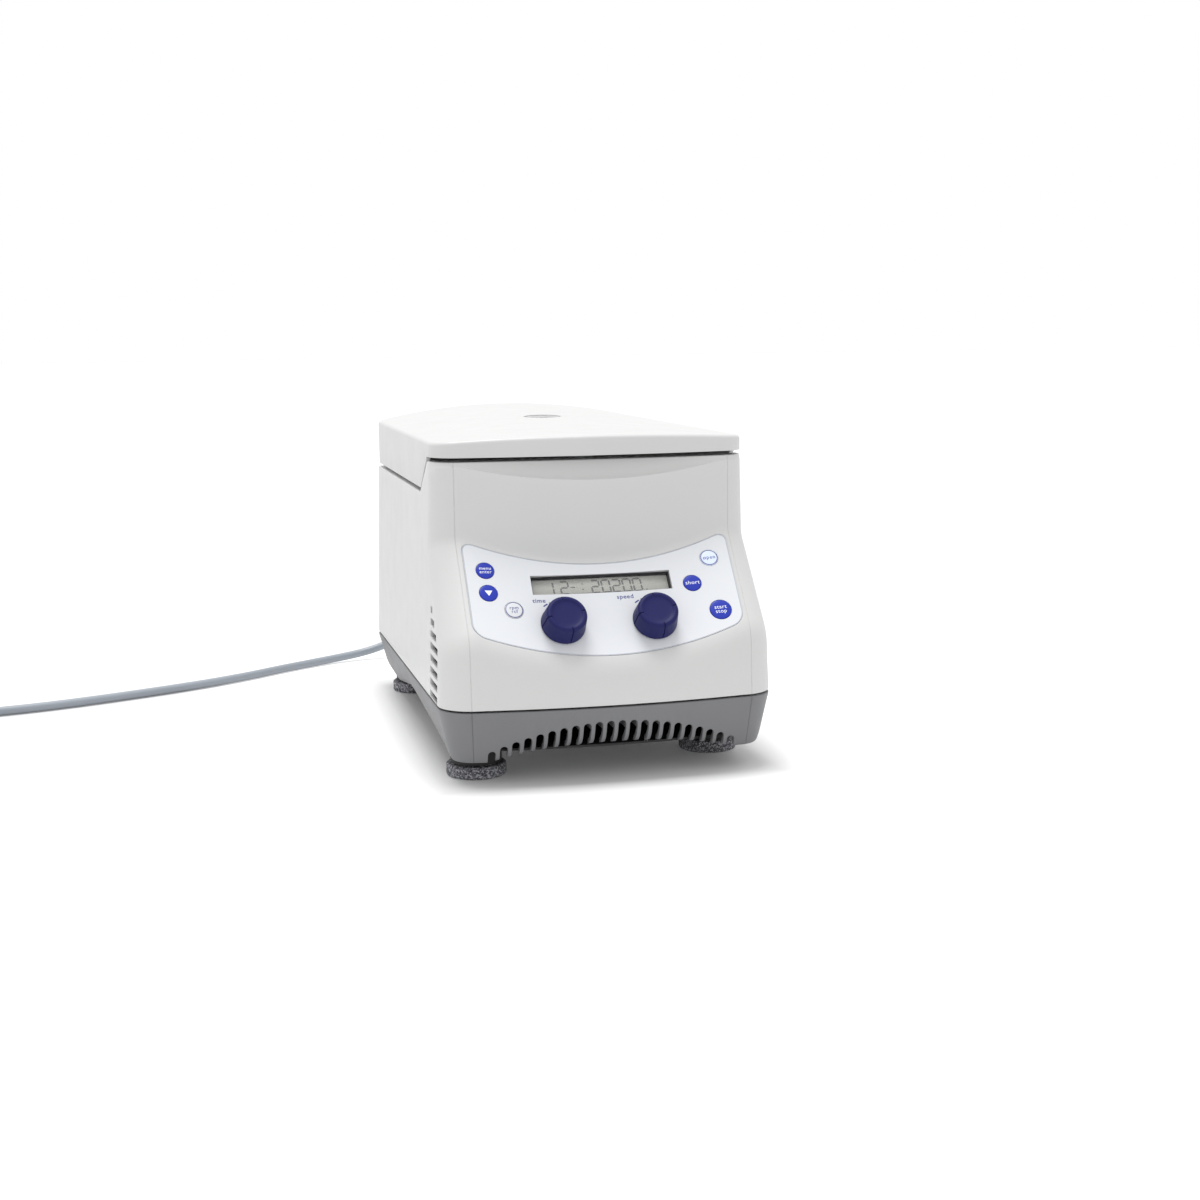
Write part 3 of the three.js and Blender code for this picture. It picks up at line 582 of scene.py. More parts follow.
def skin_rings(offset=0.0):
    """The housing's levels from the joint up to the deck, set in by the offset."""
    return [ring(lambda x, k=k: front_rows(x)[k], offset) for k in range(len(front_rows(0.0)))]


def inset_ring(source, amount):
    """The ring moved inwards in plan by an amount, for a rounded edge."""
    n = len(source)
    out = []
    for i in range(n):
        a, b = Vector(source[i - 1]), Vector(source[(i + 1) % n])
        along = (b - a).xy.normalized()
        inward = Vector((-along.y, along.x))
        p = source[i]
        out.append((p[0] + inward.x * amount, p[1] + inward.y * amount, p[2]))
    return out


def panel_point(x, s, lift=0.0):
    """A point on the control panel: s runs from its upper break line (0) to its lower one (1)."""
    q = arc(x)
    p = Vector((x, lerp(FRONT_Y, PANEL_FOOT_Y, s) - BULGE * q, lerp(upper_z(x), lower_z(x), s)))
    return p + panel_normal(x, s) * lift


def panel_normal(x, s):
    slope = lerp(UPPER_DIP, LOWER_DIP, s) * 2 * x / SEAM_HALF ** 2
    across = Vector((1, BULGE * 2 * x / SEAM_HALF ** 2, slope))
    up = Vector((0, FRONT_Y - PANEL_FOOT_Y, upper_z(x) - lower_z(x)))
    return across.cross(up).normalized()


def on_panel(x, s, lift=0.0):
    """The matrix that stands a solid made along +Z on the panel, for meshes in metres."""
    n = panel_normal(x, s)
    along = (Vector((1, 0, 0)) - n * n.x).normalized()
    return matrix_of((along, n.cross(along), n), panel_point(x, s, lift) * MM)


SHEET_PITCH = 3.0


def panel_sheet(half, s0, s1, low, high, corner_x, corner_s):
    """A sheet over +-half with rounded corners that follows the panel between two lifts."""
    flat = half - corner_x
    count = round(flat / SHEET_PITCH)
    columns = [flat * i / count for i in range(count + 1)]
    columns += [flat + corner_x * math.sin(math.pi / 2 * i / 8) for i in range(1, 9)]
    columns = [-x for x in reversed(columns[1:])] + columns
    rows = 12
    rings = []
    for x in columns:
        over = max(0.0, abs(x) - flat) / corner_x
        inset = corner_s * (1 - math.sqrt(max(0.0, 1 - over ** 2)))
        levels = [lerp(s0 + inset, s1 - inset, i / rows) for i in range(rows + 1)]
        under = [panel_point(x, s, low) for s in reversed(levels)]
        upper = [panel_point(x, s, high) for s in levels]
        rings.append([tuple(p) for p in under + upper])
    return loft(rings)


def side_prism(outline, x0, x1):
    return prism(outline, lambda y, z, x: (x, y, z), x0, x1)


def front_prism(outline, y0, y1):
    return prism(outline, lambda x, z, y: (x, -y, z), -y1, -y0)


def rounded_slot(x, z0, z1, r):
    """An upright slot's outline in XZ with a half-round top."""
    angles = [math.pi * i / 8 for i in range(9)]
    top = [(x - r * math.cos(a), z1 - r + r * math.sin(a)) for a in angles]
    return [(x - r, z0)] + top + [(x + r, z0)]


def display_box(grow, low, high):
    """A straight box over the display opening, made along +Z before it is placed on the panel."""
    half, tall = DISPLAY_HALF + grow, DISPLAY_HIGH + grow
    return box_faces(-half, half, -tall, tall, low, high)


def louvre_outline(i):
    """The i-th side louvre from the top, as (y, z) points."""
    z = 112.4 - 8.2 * i
    length = min(8 + 8.5 * i, 32)
    return rounded_rectangle(-129.5 - length, -129.5, z - 2.6, z + 2.6, 1.0, 3)


def upper_housing():
    rings = skin_rings()
    bottom = rings[0]
    rounded = []
    for inset, rise in ((2.4, 0.0), (0.7, 0.0), (0.2, 0.25), (0.0, 0.8)):
        level = inset_ring(bottom, inset)
        rounded.append([(p[0], p[1], joint_z(p[1]) + JOINT_GAP / 2 + rise) for p in level])
    top = [[(p[0], p[1], DECK_Z - 0.9) for p in rings[-1]]]
    for inset, z in ((0.12, -0.45), (0.4, -0.12), (0.9, 0.0)):
        top.append([(p[0], p[1], DECK_Z + z) for p in inset_ring(rings[-1], inset)])
    piece = solid("housing_shell", loft(rounded + rings[:-1] + top))
    inner = [ring(lambda x: joint_front(x, 8), WALL, False)]
    rows = skin_rings(WALL)
    inner += [r for k, r in enumerate(rows[:-1]) if k % 3 == 0]
    inner = [[(p[0], p[1], min(p[2], DECK_Z - WALL)) for p in r] for r in inner]
    inner.append([(p[0], p[1], DECK_Z - WALL) for p in rows[-1]])
    hollow = solid("hollow", loft(inner))
    block = joined("block", [box_faces(102, 130, -125, 200, LEDGE_Z - WALL, 230),
                             box_faces(-130, -102, -125, 200, LEDGE_Z - WALL, 230),
                             box_faces(-101.9, 101.9, 163, 200, LEDGE_Z - WALL, 230)])
    cut(hollow, block)
    for part in (piece, hollow):
        part.data.materials.append(MATERIALS["housing_white"])
    mark_inside(hollow)
    cut(piece, hollow)
    rebate = [(-120, 240), (-110, DECK_Z), (-76, LEDGE_Z), (240, LEDGE_Z), (240, 240)]
    cutters = [side_prism(rebate, 105, 140), side_prism(rebate, -140, -105),
               box_faces(-104.9, 104.9, 166, 240, LEDGE_Z, 240),
               turned(rod(BOWL_R + 3, 190, 240), 96, 0, CENTRE_Y),
               box_faces(-9, 9, -110, -97.4, 200, 230),
               panel_sheet(93, 0.03, 0.925, -0.7, 3, 8, 0.1),
               box_faces(-98, 98, REAR - 12, REAR + 10, 57, 160)]
    for index, cutter in enumerate(cutters):
        cut(piece, solid(f"cutter_{index}", cutter))
    cut(piece, solid("display_pocket", display_box(0.0, -9, 6), on_panel(0, DISPLAY_S)))
    for x0, x1 in ((-130, -100), (100, 130)):
        louvres = [side_prism(louvre_outline(i), x0, x1) for i in range(8)]
        cut(piece, joined("louvres", louvres))
    bevel(piece, 0.3, 2)
    return finish_piece(piece, "housing_white", "root", ["upper_housing"], inside="inside_grey")


# ---- Base -----------------------------------------------------------------------------------
def arch_z(x, y):
    """Height of the base's lower edge: level at the feet and arched along the front and sides."""
    if abs(x) > 100 and ARCH_FRONT < y < ARCH_REAR:
        end, power = (ARCH_FRONT, 1.6) if y < ARCH_PEAK else (ARCH_REAR, 1.5)
        reach = (y - ARCH_PEAK) / (end - ARCH_PEAK)
        return BASE_Z + ARCH_RISE * (1 - reach ** power) + 1.5 * smoothstep(1 - reach, 0, 0.1)
    if y < -150 and abs(x) < 84:
        return BASE_Z + FRONT_RISE * (1 - (abs(x) / 84) ** 2.4)
    return BASE_Z


def base_rings(profile, inset, top_z=None):
    """Levels of the base: each (rise above the lower edge, inset) of the profile, then the top edge."""
    outer = ring(joint_front, 0.0)
    edge = [arch_z(x, y) for x, y, _ in outer]
    curl = [lerp(0.15, 0.9, (z - BASE_Z) / FRONT_RISE) if y < -150 and abs(x) < 84 else 0.15
            for z, (x, y, _) in zip(edge, outer)]
    insets = [ring(joint_front, inset + 0.5 * i) for i in range(50)]

    def ring_at(extra):
        """The outline in plan, set in further by an amount."""
        i = min(48, int(extra * 2))
        t = extra * 2 - i
        return [(lerp(a[0], b[0], t), lerp(a[1], b[1], t), 0.0) for a, b in zip(insets[i], insets[i + 1])]

    def level(k, height, tuck):
        """The k-th point of the skirt at a height, leaning in evenly from the joint downwards."""
        top = joint_z(outer[k][1])
        lean = BASE_TAPER * min(1.0, max(0.0, (top - height) / (top - BASE_Z)))
        x, y, _ = ring_at(lean + tuck)[k]
        return (x, y, height)

    rings = []
    for rise, tuck in profile:
        limit = 1e9 if top_z is None else top_z - 0.5
        rings.append([level(k, min(limit, z + rise), tuck * curl[k]) for k, z in enumerate(edge)])
    top = ring(joint_front, inset)
    if top_z is not None:
        return rings + [[level(k, top_z, 0.0) for k in range(len(edge))]]
    for chamfer, drop in ((0.0, 0.8), (0.2, 0.25), (0.7, 0.0), (2.4, 0.0)):
        edge_ring = inset_ring(top, chamfer)
        rings.append([(p[0], p[1], joint_z(p[1]) - JOINT_GAP / 2 - drop) for p in edge_ring])
    return rings


# The base's skirt curls under: (rise above the lower edge, inset) outside and, without the wall, inside.
CURL = [(0.0, 11.0), (0.35, 8.6), (1.1, 6.4), (2.3, 4.5), (4.0, 2.9), (6.2, 1.7), (9.0, 0.8), (12.0, 0.3)]
CURL_INSIDE = [(-14.0, 8.2), (3.1, 8.2), (4.2, 5.6), (6.0, 3.4), (8.6, 1.6), (12.0, 0.5)]


def base_tray():
    piece = solid("base_shell", loft(base_rings(CURL, 0.0)))
    upper = solid("upper_hollow", loft(base_rings([(15.0, 0.0), (40.0, 0.0)], WALL, 80)))
    cut(upper, solid("slice", box_faces(-140, 140, -240, 240, 41, 90)), operation="INTERSECT")
    lower = solid("lower_hollow", loft(base_rings(CURL_INSIDE, WALL, 36)))
    for part in (piece, upper, lower):
        part.data.materials.append(MATERIALS["base_grey"])
    # The base's inside walls take the near-black painted shade, so the slots and the skirt's underside show
    # shadow.
    mark_inside(upper, lower)
    cut(piece, upper)
    cut(piece, lower)
    slots = []
    for i in range(SLOT_COUNT):
        x = lerp(-SLOT_HALF, SLOT_HALF, i / (SLOT_COUNT - 1))
        top = SLOT_TOP - SLOT_FALL * (x / SLOT_HALF) ** 2
        slots.append(front_prism(rounded_slot(x, 10, top, SLOT_R), -240, -172))
    cut(piece, joined("slots", slots))
    for x, y in FEET:
        # The bosses and their collars round the feet's necks take the near-black painted shade, which stands
        # in for the shadow gap above the pads.
        shade_collar = [(15.6, 13.6), (15.6, 9.2), (17.2, 9.2), (17.5, 9.5)]
        boss = solid("boss", turned([(4.4, 13.6)] + shade_collar + [(17.5, 37), (4.4, 37)], 48, x, y))
        mark_inside(boss)
        cut(piece, boss, operation="UNION")
    bevel(piece, 0.35, 2)
    return finish_piece(piece, "base_grey", "root", ["base_tray"], inside="painted_shade_black")


def shadow_plate_under_base():
    """Near-black plate that closes the base from below, round the four bosses: painted shade for the shadow
    under the casing.
    """
    level = ring(joint_front, 15.5)
    plate = solid("painted_shade_plate", loft([[(x, y, z) for x, y, _ in level] for z in (22.0, 23.5)]))
    for x, y in FEET:
        cut(plate, turned_solid("boss_hole", rod(17.9, 10, 40), 48, x, y))
    finish_piece(plate, "painted_shade_black", "root")


def feet():
    sole = [(4.5, 0.0), (FOOT_R - 1.6, 0.0), (FOOT_R - 0.9, 0.25), (FOOT_R - 0.3, 0.9), (FOOT_R, 1.9)]
    rim = [(FOOT_R, FOOT_H - 1.4), (FOOT_R - 0.3, FOOT_H - 0.6), (FOOT_R - 1.1, FOOT_H), (15.6, FOOT_H)]
    neck = [(15.2, FOOT_H + 0.4), (15.2, 13.3), (4.5, 13.3)]
    outline = sole + rim + neck + [(4.5, 6.0), (9.0, 6.0), (9.0, 5.0), (4.5, 5.0)]
    for i, (x, y) in enumerate(FEET):
        pad = turned_solid(f"pad_{i + 1}", outline, 96, x, y)
        finish_piece(pad, "foot_rubber", "root", [f"foot_pad_{i + 1}"])
        head = [(0.0, 2.2), (1.4, 2.2), (1.4, 3.4), (3.6, 3.4), (3.9, 3.1)]
        screw = turned_solid(f"pad_screw_{i + 1}", head + [(3.9, 43.6), (3.5, 44.0), (0.0, 44.0)], 32, x, y)
        finish_piece(screw, "zinc_steel", "root", [f"foot_screw_{i + 1}"])


# ---- Lid ------------------------------------------------------------------------------------
def crown(x, y):
    """Height of the lid's top: an arch across, which rises steadily from the front to the rear."""
    return 224 + max(0.0, 1 - (x / 112) ** 2) * (3.5 + 0.03 * (y + 141.5))


def lid_rings(offset, bottom):
    edge = ring(lambda x: (FRONT_Y - BULGE * arc(x), LID_Z, 0), offset, False)
    rings = [[(p[0], p[1], bottom) for p in edge], [(p[0], p[1], 205.0) for p in edge]]
    radius = 2.4
    for i in range(7):
        a = math.pi / 2 * i / 6
        level = inset_ring(edge, radius * (1 - math.cos(a)))
        rings.append([(p[0], p[1], crown(p[0], p[1]) - offset - radius * (1 - math.sin(a))) for p in level])
    rim = inset_ring(edge, radius)
    for scale in (0.97, 0.93, 0.88, 0.82, 0.75, 0.67, 0.58, 0.48, 0.37, 0.25, 0.12):
        level = [(p[0] * scale, CENTRE_Y + (p[1] - CENTRE_Y) * scale) for p in rim]
        rings.append([(x, y, crown(x, y) - offset) for x, y in level])
    return loft(rings, apex=(0.0, CENTRE_Y, crown(0, CENTRE_Y) - offset))


def lid_shell():
    piece = solid("lid_cover", lid_rings(0.0, 180))
    cut(piece, solid("lid_hollow", lid_rings(2.8, 170)))
    quarter = [math.pi / 2 * i / 8 for i in range(9)]
    corner = [(172 + 12 * math.sin(a), 202 - 12 * math.cos(a)) for a in quarter]
    under = [(-260, 150), (-260, LID_Z), (-107.5, LID_Z), (-73, SKIRT_Z)]
    under += corner + [(187.5, 206), (220, 206), (220, 150)]
    cut(piece, solid("under", side_prism(under, -140, 140)))
    cut(piece, solid("rear_gap", box_faces(-105.5, 105.5, 165, 220, 150, 201)))
    cut(piece, turned_solid("window_hole", rod(14.2, 200, 260), 64, 0, CENTRE_Y))
    bevel(piece, 0.35, 2)
    return finish_piece(piece, "housing_white", "lid", ["lid_shell"])


# ---- Keypad ---------------------------------------------------------------------------------
def keypad():
    foil = solid("foil_sheet", panel_sheet(92.6, 0.034, 0.921, -0.4, 0.15, 7.7, 0.096))
    cut(foil, solid("opening", display_box(0.0, -5, 6), on_panel(0, DISPLAY_S)))
    for x, s, r, _ in KEYS.values():
        cut(foil, turned_solid("hole", rod(r + 0.35, -5, 5), 48, move=on_panel(x, s)))
    for side in (-1, 1):
        cut(foil, turned_solid("hole", rod(3.6, -5, 5), 32, move=on_panel(side * KNOB_X, KNOB_S)))
    finish_piece(foil, "keypad_foil", "root", ["keypad_foil"], 25)
    line = solid("foil_outline", panel_sheet(92.45, 0.036, 0.919, 0.05, 0.17, 7.55, 0.094))
    cut(line, solid("line_inside", panel_sheet(92.05, 0.041, 0.914, -1, 1, 7.15, 0.089)))
    finish_piece(line, "foil_edge", "root", degrees=25)


# ---- Display, knobs and keys ----------------------------------------------------------------
def surface_point(x, s, u, v, lift):
    """The point of the panel's surface at (u, v) in the tangent frame of (x, s), lifted off it."""
    flat = on_panel(x, s) @ (Vector((u, v, 0)) * MM) / MM
    along = (upper_z(flat.x) - flat.z) / (upper_z(flat.x) - lower_z(flat.x))
    return tuple(panel_point(flat.x, along, lift))


def stroke(a, b, half, trim=0.0):
    """A straight stroke with pointed ends, as a flat outline."""
    a, b = Vector(a), Vector(b)
    along = (b - a).normalized()
    side = Vector((-along.y, along.x)) * half
    a, b = a + along * trim, b - along * trim
    near, far = a + along * half, b - along * half
    return [a, near - side, far - side, b, far + side, near + side]


SEGMENTS = {"a": ((0, 1), (1, 1)), "b": ((1, 0.5), (1, 1)), "c": ((1, 0), (1, 0.5)), "d": ((0, 0), (1, 0)),
            "e": ((0, 0), (0, 0.5)), "f": ((0, 0.5), (0, 1)), "g": ((0, 0.5), (1, 0.5))}
DIGITS = {"0": "abcdef", "1": "bc", "2": "abged"}


def display():
    place = on_panel(0, DISPLAY_S)
    # The pocket's walls are lined with black plastic: painted shade for the shadow inside the display
    # pocket.
    pocket_shade_lining = solid("display_pocket_shade_lining", display_box(-0.1, -8.4, -0.5), place)
    cut(pocket_shade_lining, solid("shade_lining_hole", display_box(-0.75, -12, 4), place))
    finish_piece(pocket_shade_lining, "black_plastic", "root")
    module = solid("lcd_panel", display_box(-0.9, -6.8, -3.6), place)
    cut(module, solid("lcd_back", box_faces(-46, 46, -12, 12, -10.2, -6.3), place), operation="UNION")
    finish_piece(bevel(module, 0.25, 2), "lcd", "root", ["lcd_module"])
    glass = solid("display_glass_plate", display_box(-0.95, -3.3, -2.8), place)
    finish_piece(bevel(glass, 0.12, 2), "display_glass", "root", ["display_window"])
    parts = []
    width, height, foot, pitch, lean = 5.4, 9.6, -4.9, 7.35, 0.06
    cells = [("1", -37.8)] + [("2", -27.4)] + [(digit, -5.9 + pitch * i) for i, digit in enumerate("20200")]
    for digit, x in cells:
        for segment in DIGITS[digit]:
            ends = [(x + u * width - v * height * lean, foot + v * height) for u, v in SEGMENTS[segment]]
            parts.append(flat_prism(stroke(*ends, 0.62, 0.25), -3.62, -3.56))
    for x, v, half in ((-19.2, 0.0, 1.5), (-12.4, 2.4, 0.6), (-12.4, -1.8, 0.6), (32.0, foot + 0.8, 0.8)):
        corners = [(x - half, v - 0.4), (x + half, v - 0.4), (x + half, v + 0.4), (x - half, v + 0.4)]
        parts.append(flat_prism(corners, -3.62, -3.56))
    digits = joined("lcd_digits", parts)
    digits.data.transform(place)
    finish_piece(digits, "lcd_digit", "root")


def lettering(name, text, x, s, size, lift, body="root", material="ink_blue", weight=0.0):
    """Flat printed letters on the panel or on a key."""
    curve = bpy.data.curves.new(name, "FONT")
    curve.body = text
    curve.size = size * MM
    curve.align_x = "CENTER"
    curve.align_y = "CENTER"
    curve.space_line = 0.8
    curve.space_character = 1.1
    curve.offset = weight * size * MM
    curve.extrude = 0.025 * MM
    curve.resolution_u = 3
    source = bpy.data.objects.new(name, curve)
    bpy.context.scene.collection.objects.link(source)
    bpy.context.view_layer.update()
    mesh = bpy.data.meshes.new_from_object(source.evaluated_get(bpy.context.evaluated_depsgraph_get()))
    bpy.data.objects.remove(source)
    mesh.transform(on_panel(x, s, lift))
    piece = bpy.data.objects.new(name, mesh)
    bpy.context.scene.collection.objects.link(piece)
    weld(piece, 1e-7)
    return finish_piece(piece, material, body)


def printed_marks():
    lettering("time_label", "time", -45.1, 0.437, 4.6, 0.17, weight=0.012)
    lettering("speed_label", "speed", 14.6, 0.378, 4.6, 0.17, weight=0.012)
    for name, side in (("time", -1), ("speed", 1)):
        parts = []
        for start, end in ((127, 116), (112, 104)):
            outline = []
            for radius, sweep in ((17.9, (start, end)), (18.8, (end, start))):
                for i in range(5):
                    a = math.radians(lerp(*sweep, i / 4))
                    outline.append((radius * math.cos(a), radius * math.sin(a)))
            outline.reverse()
            x = side * KNOB_X
            parts.append(prism(outline, lambda u, v, d: surface_point(x, KNOB_S, u, v, d), 0.1, 0.19))
        finish_piece(joined(f"{name}_ticks", parts), "ink_blue", "root")


def knobs():
    r, top, height = 15.2, 13.4, 15.4
    outline = [(0, -9), (3.2, -9), (3.2, 0.8), (r - 0.9, 0.8), (r - 0.3, 0.95), (r, 1.5),
               (top + 0.42, height - 2.2), (top + 0.22, height - 1.35), (top - 0.25, height - 0.6),
               (top - 1.0, height - 0.12), (top - 1.9, height), (top - 2.4, height - 0.05),
               (top - 2.9, height - 0.35), (top - 3.5, height - 0.75), (top - 4.3, height - 0.95),
               (top - 7, height - 1.05), (0, height - 1.1)]
    groove = [(r - 0.75, 2.0), (r + 3, 2.0), (r + 3, height + 3), (top - 3.2, height + 3),
              (top - 3.2, height - 0.75), (top - 2.0, height - 0.75), (top - 0.75, height - 1.7),
              (top - 0.35, height - 3)]
    for name, side in (("time_knob", -1), ("speed_knob", 1)):
        knob = turned_solid(f"{name}_cap", outline, 128)
        for i in range(4):
            cut(knob, solid("groove", prism(groove, on_spoke(math.radians(10 + 90 * i)), -0.42, 0.42)))
        bevel(knob, 0.14, 2, 40)
        knob.data.transform(on_panel(side * KNOB_X, KNOB_S))
        finish_piece(knob, "knob_navy", name, [name])


def keys():
    for name, (x, s, r, material) in KEYS.items():
        outline = [(0, -4.6), (r - 0.8, -4.6), (r - 0.8, -3.6), (r, -3.4), (r, 0.15), (r - 0.1, 0.38),
                   (r - 0.4, 0.56), (r - 1.0, 0.68), (r * 0.6, 0.8), (r * 0.3, 0.86), (0, 0.88)]
        cap = turned_solid(f"{name}_cap", outline, 72, move=on_panel(x, s))
        finish_piece(cap, material, name, [name])
        if material != "key_blue":
            band = [(r - 0.75, 0.55), (r - 0.3, 0.4), (r - 0.28, 0.52), (r - 0.45, 0.6), (r - 0.75, 0.68)]
            ring_piece = turned_solid(f"{name}_ring", band, 72, move=on_panel(x, s))
            finish_piece(ring_piece, "ink_blue", name)
    legends = [("menu_key", "menu\nenter", 3.5, "ink_white"), ("unit_key", "rpm\nrcf", 3.6, "ink_blue"),
               ("open_key", "open", 4.0, "ink_blue"), ("short_key", "short", 4.2, "ink_white"),
               ("start_key", "start\nstop", 4.1, "ink_white")]
    for name, text, size, material in legends:
        x, s = KEYS[name][:2]
        lettering(f"{name}_legend", text, x, s, size, 0.885, name, material)
    x, s = KEYS["down_key"][:2]
    side, drop = 2.6, 1.6
    corners = [(-side, drop), (0, -drop - 0.9), (side, drop)]
    mark = solid("down_key_legend", flat_prism(corners, 0.8, 0.92))
    mark.data.transform(on_panel(x, s))
    finish_piece(mark, "ink_white", "down_key")


# ---- Lid fittings ---------------------------------------------------------------------------
def lid_fittings():
    top = crown(0, CENTRE_Y)
    lean = Matrix.Identity(4)
    lean[2][1] = 0.03
    lean.translation = (0, 0, -0.03 * CENTRE_Y * MM)
    lens = [(0, 218.5), (12.0, 218.5), (12.0, 216.0), (13.7, 216.0), (13.7, top - 0.9), (13.4, top - 0.5),
            (11.0, top - 0.2), (6.0, top), (0, top + 0.1)]
    finish_piece(turned_solid("window_lens", lens, 96, 0, CENTRE_Y, lean), "lid_window_glass", "lid",
                 ["lid_window"])
    seal = [(13.75, top - 9), (14.15, top - 9), (14.15, top - 0.75), (13.75, top - 0.75)]
    finish_piece(turned_solid("window_seal", seal, 96, 0, CENTRE_Y, lean), "black_rubber", "lid")
    liner = solid("liner_plate", box_faces(-101, 101, -112, 148, 215.6, 217.6))
    cut(liner, turned_solid("liner_hole", rod(14.3, 200, 230), 64, 0, CENTRE_Y))
    for radius in (60.0, 97.0):
        bead = [(radius - 1.6, 215.5), (radius + 1.6, 215.5), (radius + 0.8, 216.2), (radius - 0.8, 216.2)]
        cut(liner, turned_solid("bead", bead, 96, 0, CENTRE_Y))
    finish_piece(bevel(liner, 0.4, 2), "liner_metal", "lid", ["lid_liner"])
    for i, (x, y) in enumerate([(-94, -105), (94, -105), (-94, 141), (94, 141)]):
        head = [(0, 215.0), (2.6, 215.0), (3.0, 215.3), (3.0, 215.65), (0, 215.65)]
        finish_piece(turned_solid(f"liner_screw_{i + 1}", head, 24, x, y), "zinc_steel", "lid")


# ---- Chamber, rotor and drive ---------------------------------------------------------------
def raised(outline):
    """An outline whose heights are given above the rotor's foot."""
    return [(r, h + ROTOR_Z) for r, h in outline]


def chamber():
    bowl = [(20, 134), (80, 134), (91, 138), (95, 148), (95, DECK_Z + 0.3), (101, DECK_Z + 0.3),
            (101, DECK_Z + 0.9), (100.8, DECK_Z + 1.1), (BOWL_R + 0.6, DECK_Z + 1.1),
            (BOWL_R, DECK_Z + 0.5), (BOWL_R, 152), (92.2, 146.5), (90, 142), (86.5, 138.6), (82, 136.8),
            (78, 136.2), (60, 136), (20, 136)]
    finish_piece(turned_solid("bowl_liner", bowl, 144, 0, CENTRE_Y), "chamber_steel", "root",
                 ["chamber_bowl"])
    gasket = [(94.5, DECK_Z + 1.4), (100, DECK_Z + 1.4), (100, DECK_Z + 2.6), (99, DECK_Z + 3.1),
              (98.2, DECK_Z + 2.7), (97.2, DECK_Z + 3.5), (96.3, DECK_Z + 3.5), (95.4, DECK_Z + 2.8),
              (94.5, DECK_Z + 2.5)]
    finish_piece(turned_solid("lid_gasket", gasket, 144, 0, CENTRE_Y), "black_rubber", "root",
                 ["chamber_gasket"])
    motor = [(8, 62), (43, 62), (44, 63), (44, 70), (42.5, 70.5), (42.5, 74), (44, 74.5), (44, 111),
             (43, 112.4), (37, 117), (35, 118), (18.6, 118), (18, 118.6), (18, 131.4), (17.4, 132),
             (8, 132)]
    finish_piece(turned_solid("motor_can", motor, 72, 0, CENTRE_Y), "motor_alloy", "root", ["drive_motor"])
    shaft = [(0, 63), (5.6, 63), (6, 63.4), (6, 190), (5, 191), (0, 191)]
    finish_piece(turned_solid("shaft", shaft, 48, 0, CENTRE_Y), "ground_steel", "rotor", ["drive_shaft"])
    for i, degrees in enumerate((30, 150, 270)):
        a = math.radians(degrees)
        damper = [(0, 37.3), (7.6, 37.3), (8, 37.8), (8, 41), (6.6, 43), (6.2, 46.5), (6.6, 50), (8, 52),
                  (8, 55.2), (7.6, 55.7), (3.1, 55.7), (3.1, 62), (0, 62)]
        piece = turned_solid(f"damper_{i + 1}", damper, 48, 56 * math.cos(a), CENTRE_Y + 56 * math.sin(a))
        finish_piece(piece, "black_rubber", "root", [f"motor_damper_{i + 1}"])


def rotor():
    outline = raised([(6.4, 6), (25, 6), (33, 2), (60, 2), (85, 10), (87.4, 16), (88, 18), (88, 45),
                      (87.6, 46.6), (84.4, 55.2), (83.2, 56), (68, 56), (66.4, 55.4), (44.5, 33),
                      (42, 32), (22.3, 30.3), (21.5, 31), (21.5, 35.2), (20.7, 36), (6.4, 36)])
    piece = turned_solid("rotor_body", outline, 144, 0, CENTRE_Y)
    bores = []
    turns = [2 * math.pi * k / 24 for k in range(24)]
    for turn in turns:
        out, across = spoke(turn)
        axis = (Vector((0, 0, 1)) - out).normalized()
        side = axis.cross(across)
        centre = Vector((0, CENTRE_Y, ROTOR_Z + 44)) + out * 55.2
        rings = []
        for depth, r in ((-37, 2.2), (-34, 4.2), (-20, 5.3), (-18, 5.6), (26, 5.6)):
            middle = centre + axis * depth
            rings.append([tuple(middle + across * r * math.cos(t) - side * r * math.sin(t)) for t in turns])
        bores.append(loft(rings))
    cut(piece, joined("bores", bores))
    finish_piece(piece, "rotor_alloy", "rotor", ["rotor"])
    cover = raised([(7, 41), (22.6, 41.6), (24, 42.2), (63.6, 56), (64.4, 56.4), (81, 56.4), (81.5, 56.9),
                    (81.5, 58.1), (81, 58.6), (64, 58.6), (62.6, 58.2), (23.4, 44.8), (22, 44.4),
                    (15, 44.0), (7, 43.4)])
    finish_piece(turned_solid("rotor_cover", cover, 144, 0, CENTRE_Y), "rotor_alloy", "rotor",
                 ["rotor_lid"])
    outline = raised([(6.4, 44.4), (14, 44.4), (15.4, 45.4), (16, 46.6), (16, 57.4), (15.5, 59), (14, 60),
                      (9, 60.5), (4, 59.4), (0, 59.2), (0, 52), (6.4, 52)])
    nut = turned_solid("cover_nut", outline, 96, 0, CENTRE_Y)
    scallops = []
    for i in range(8):
        a = math.pi / 4 * i
        x, y = 17.0 * math.cos(a), CENTRE_Y + 17.0 * math.sin(a)
        scallops.append(turned(rod(2.2, ROTOR_Z + 46.6, ROTOR_Z + 64), 20, x, y))
    cut(nut, joined("scallops", scallops))
    finish_piece(bevel(nut, 0.3, 2, 35), "black_plastic", "rotor_nut", ["rotor_lid_nut"])


# ---- Rear of the casing ---------------------------------------------------------------------
def superellipse(cx, cz, half_x, half_z, y, power):
    """A ring across Y between an ellipse (power 2) and a rounded rectangle (higher powers)."""
    points = []
    for i in range(48):
        a = 2 * math.pi * i / 48
        c, d = math.cos(a), math.sin(a)
        x = half_x * math.copysign(abs(c) ** (2 / power), c)
        z = half_z * math.copysign(abs(d) ** (2 / power), d)
        points.append((cx - x, y, cz + z))
    return points


def inlet_box(half_x, half_z, y0, y1):
    return box_faces(INLET_X - half_x, INLET_X + half_x, y0, y1, INLET_Z - half_z, INLET_Z + half_z)


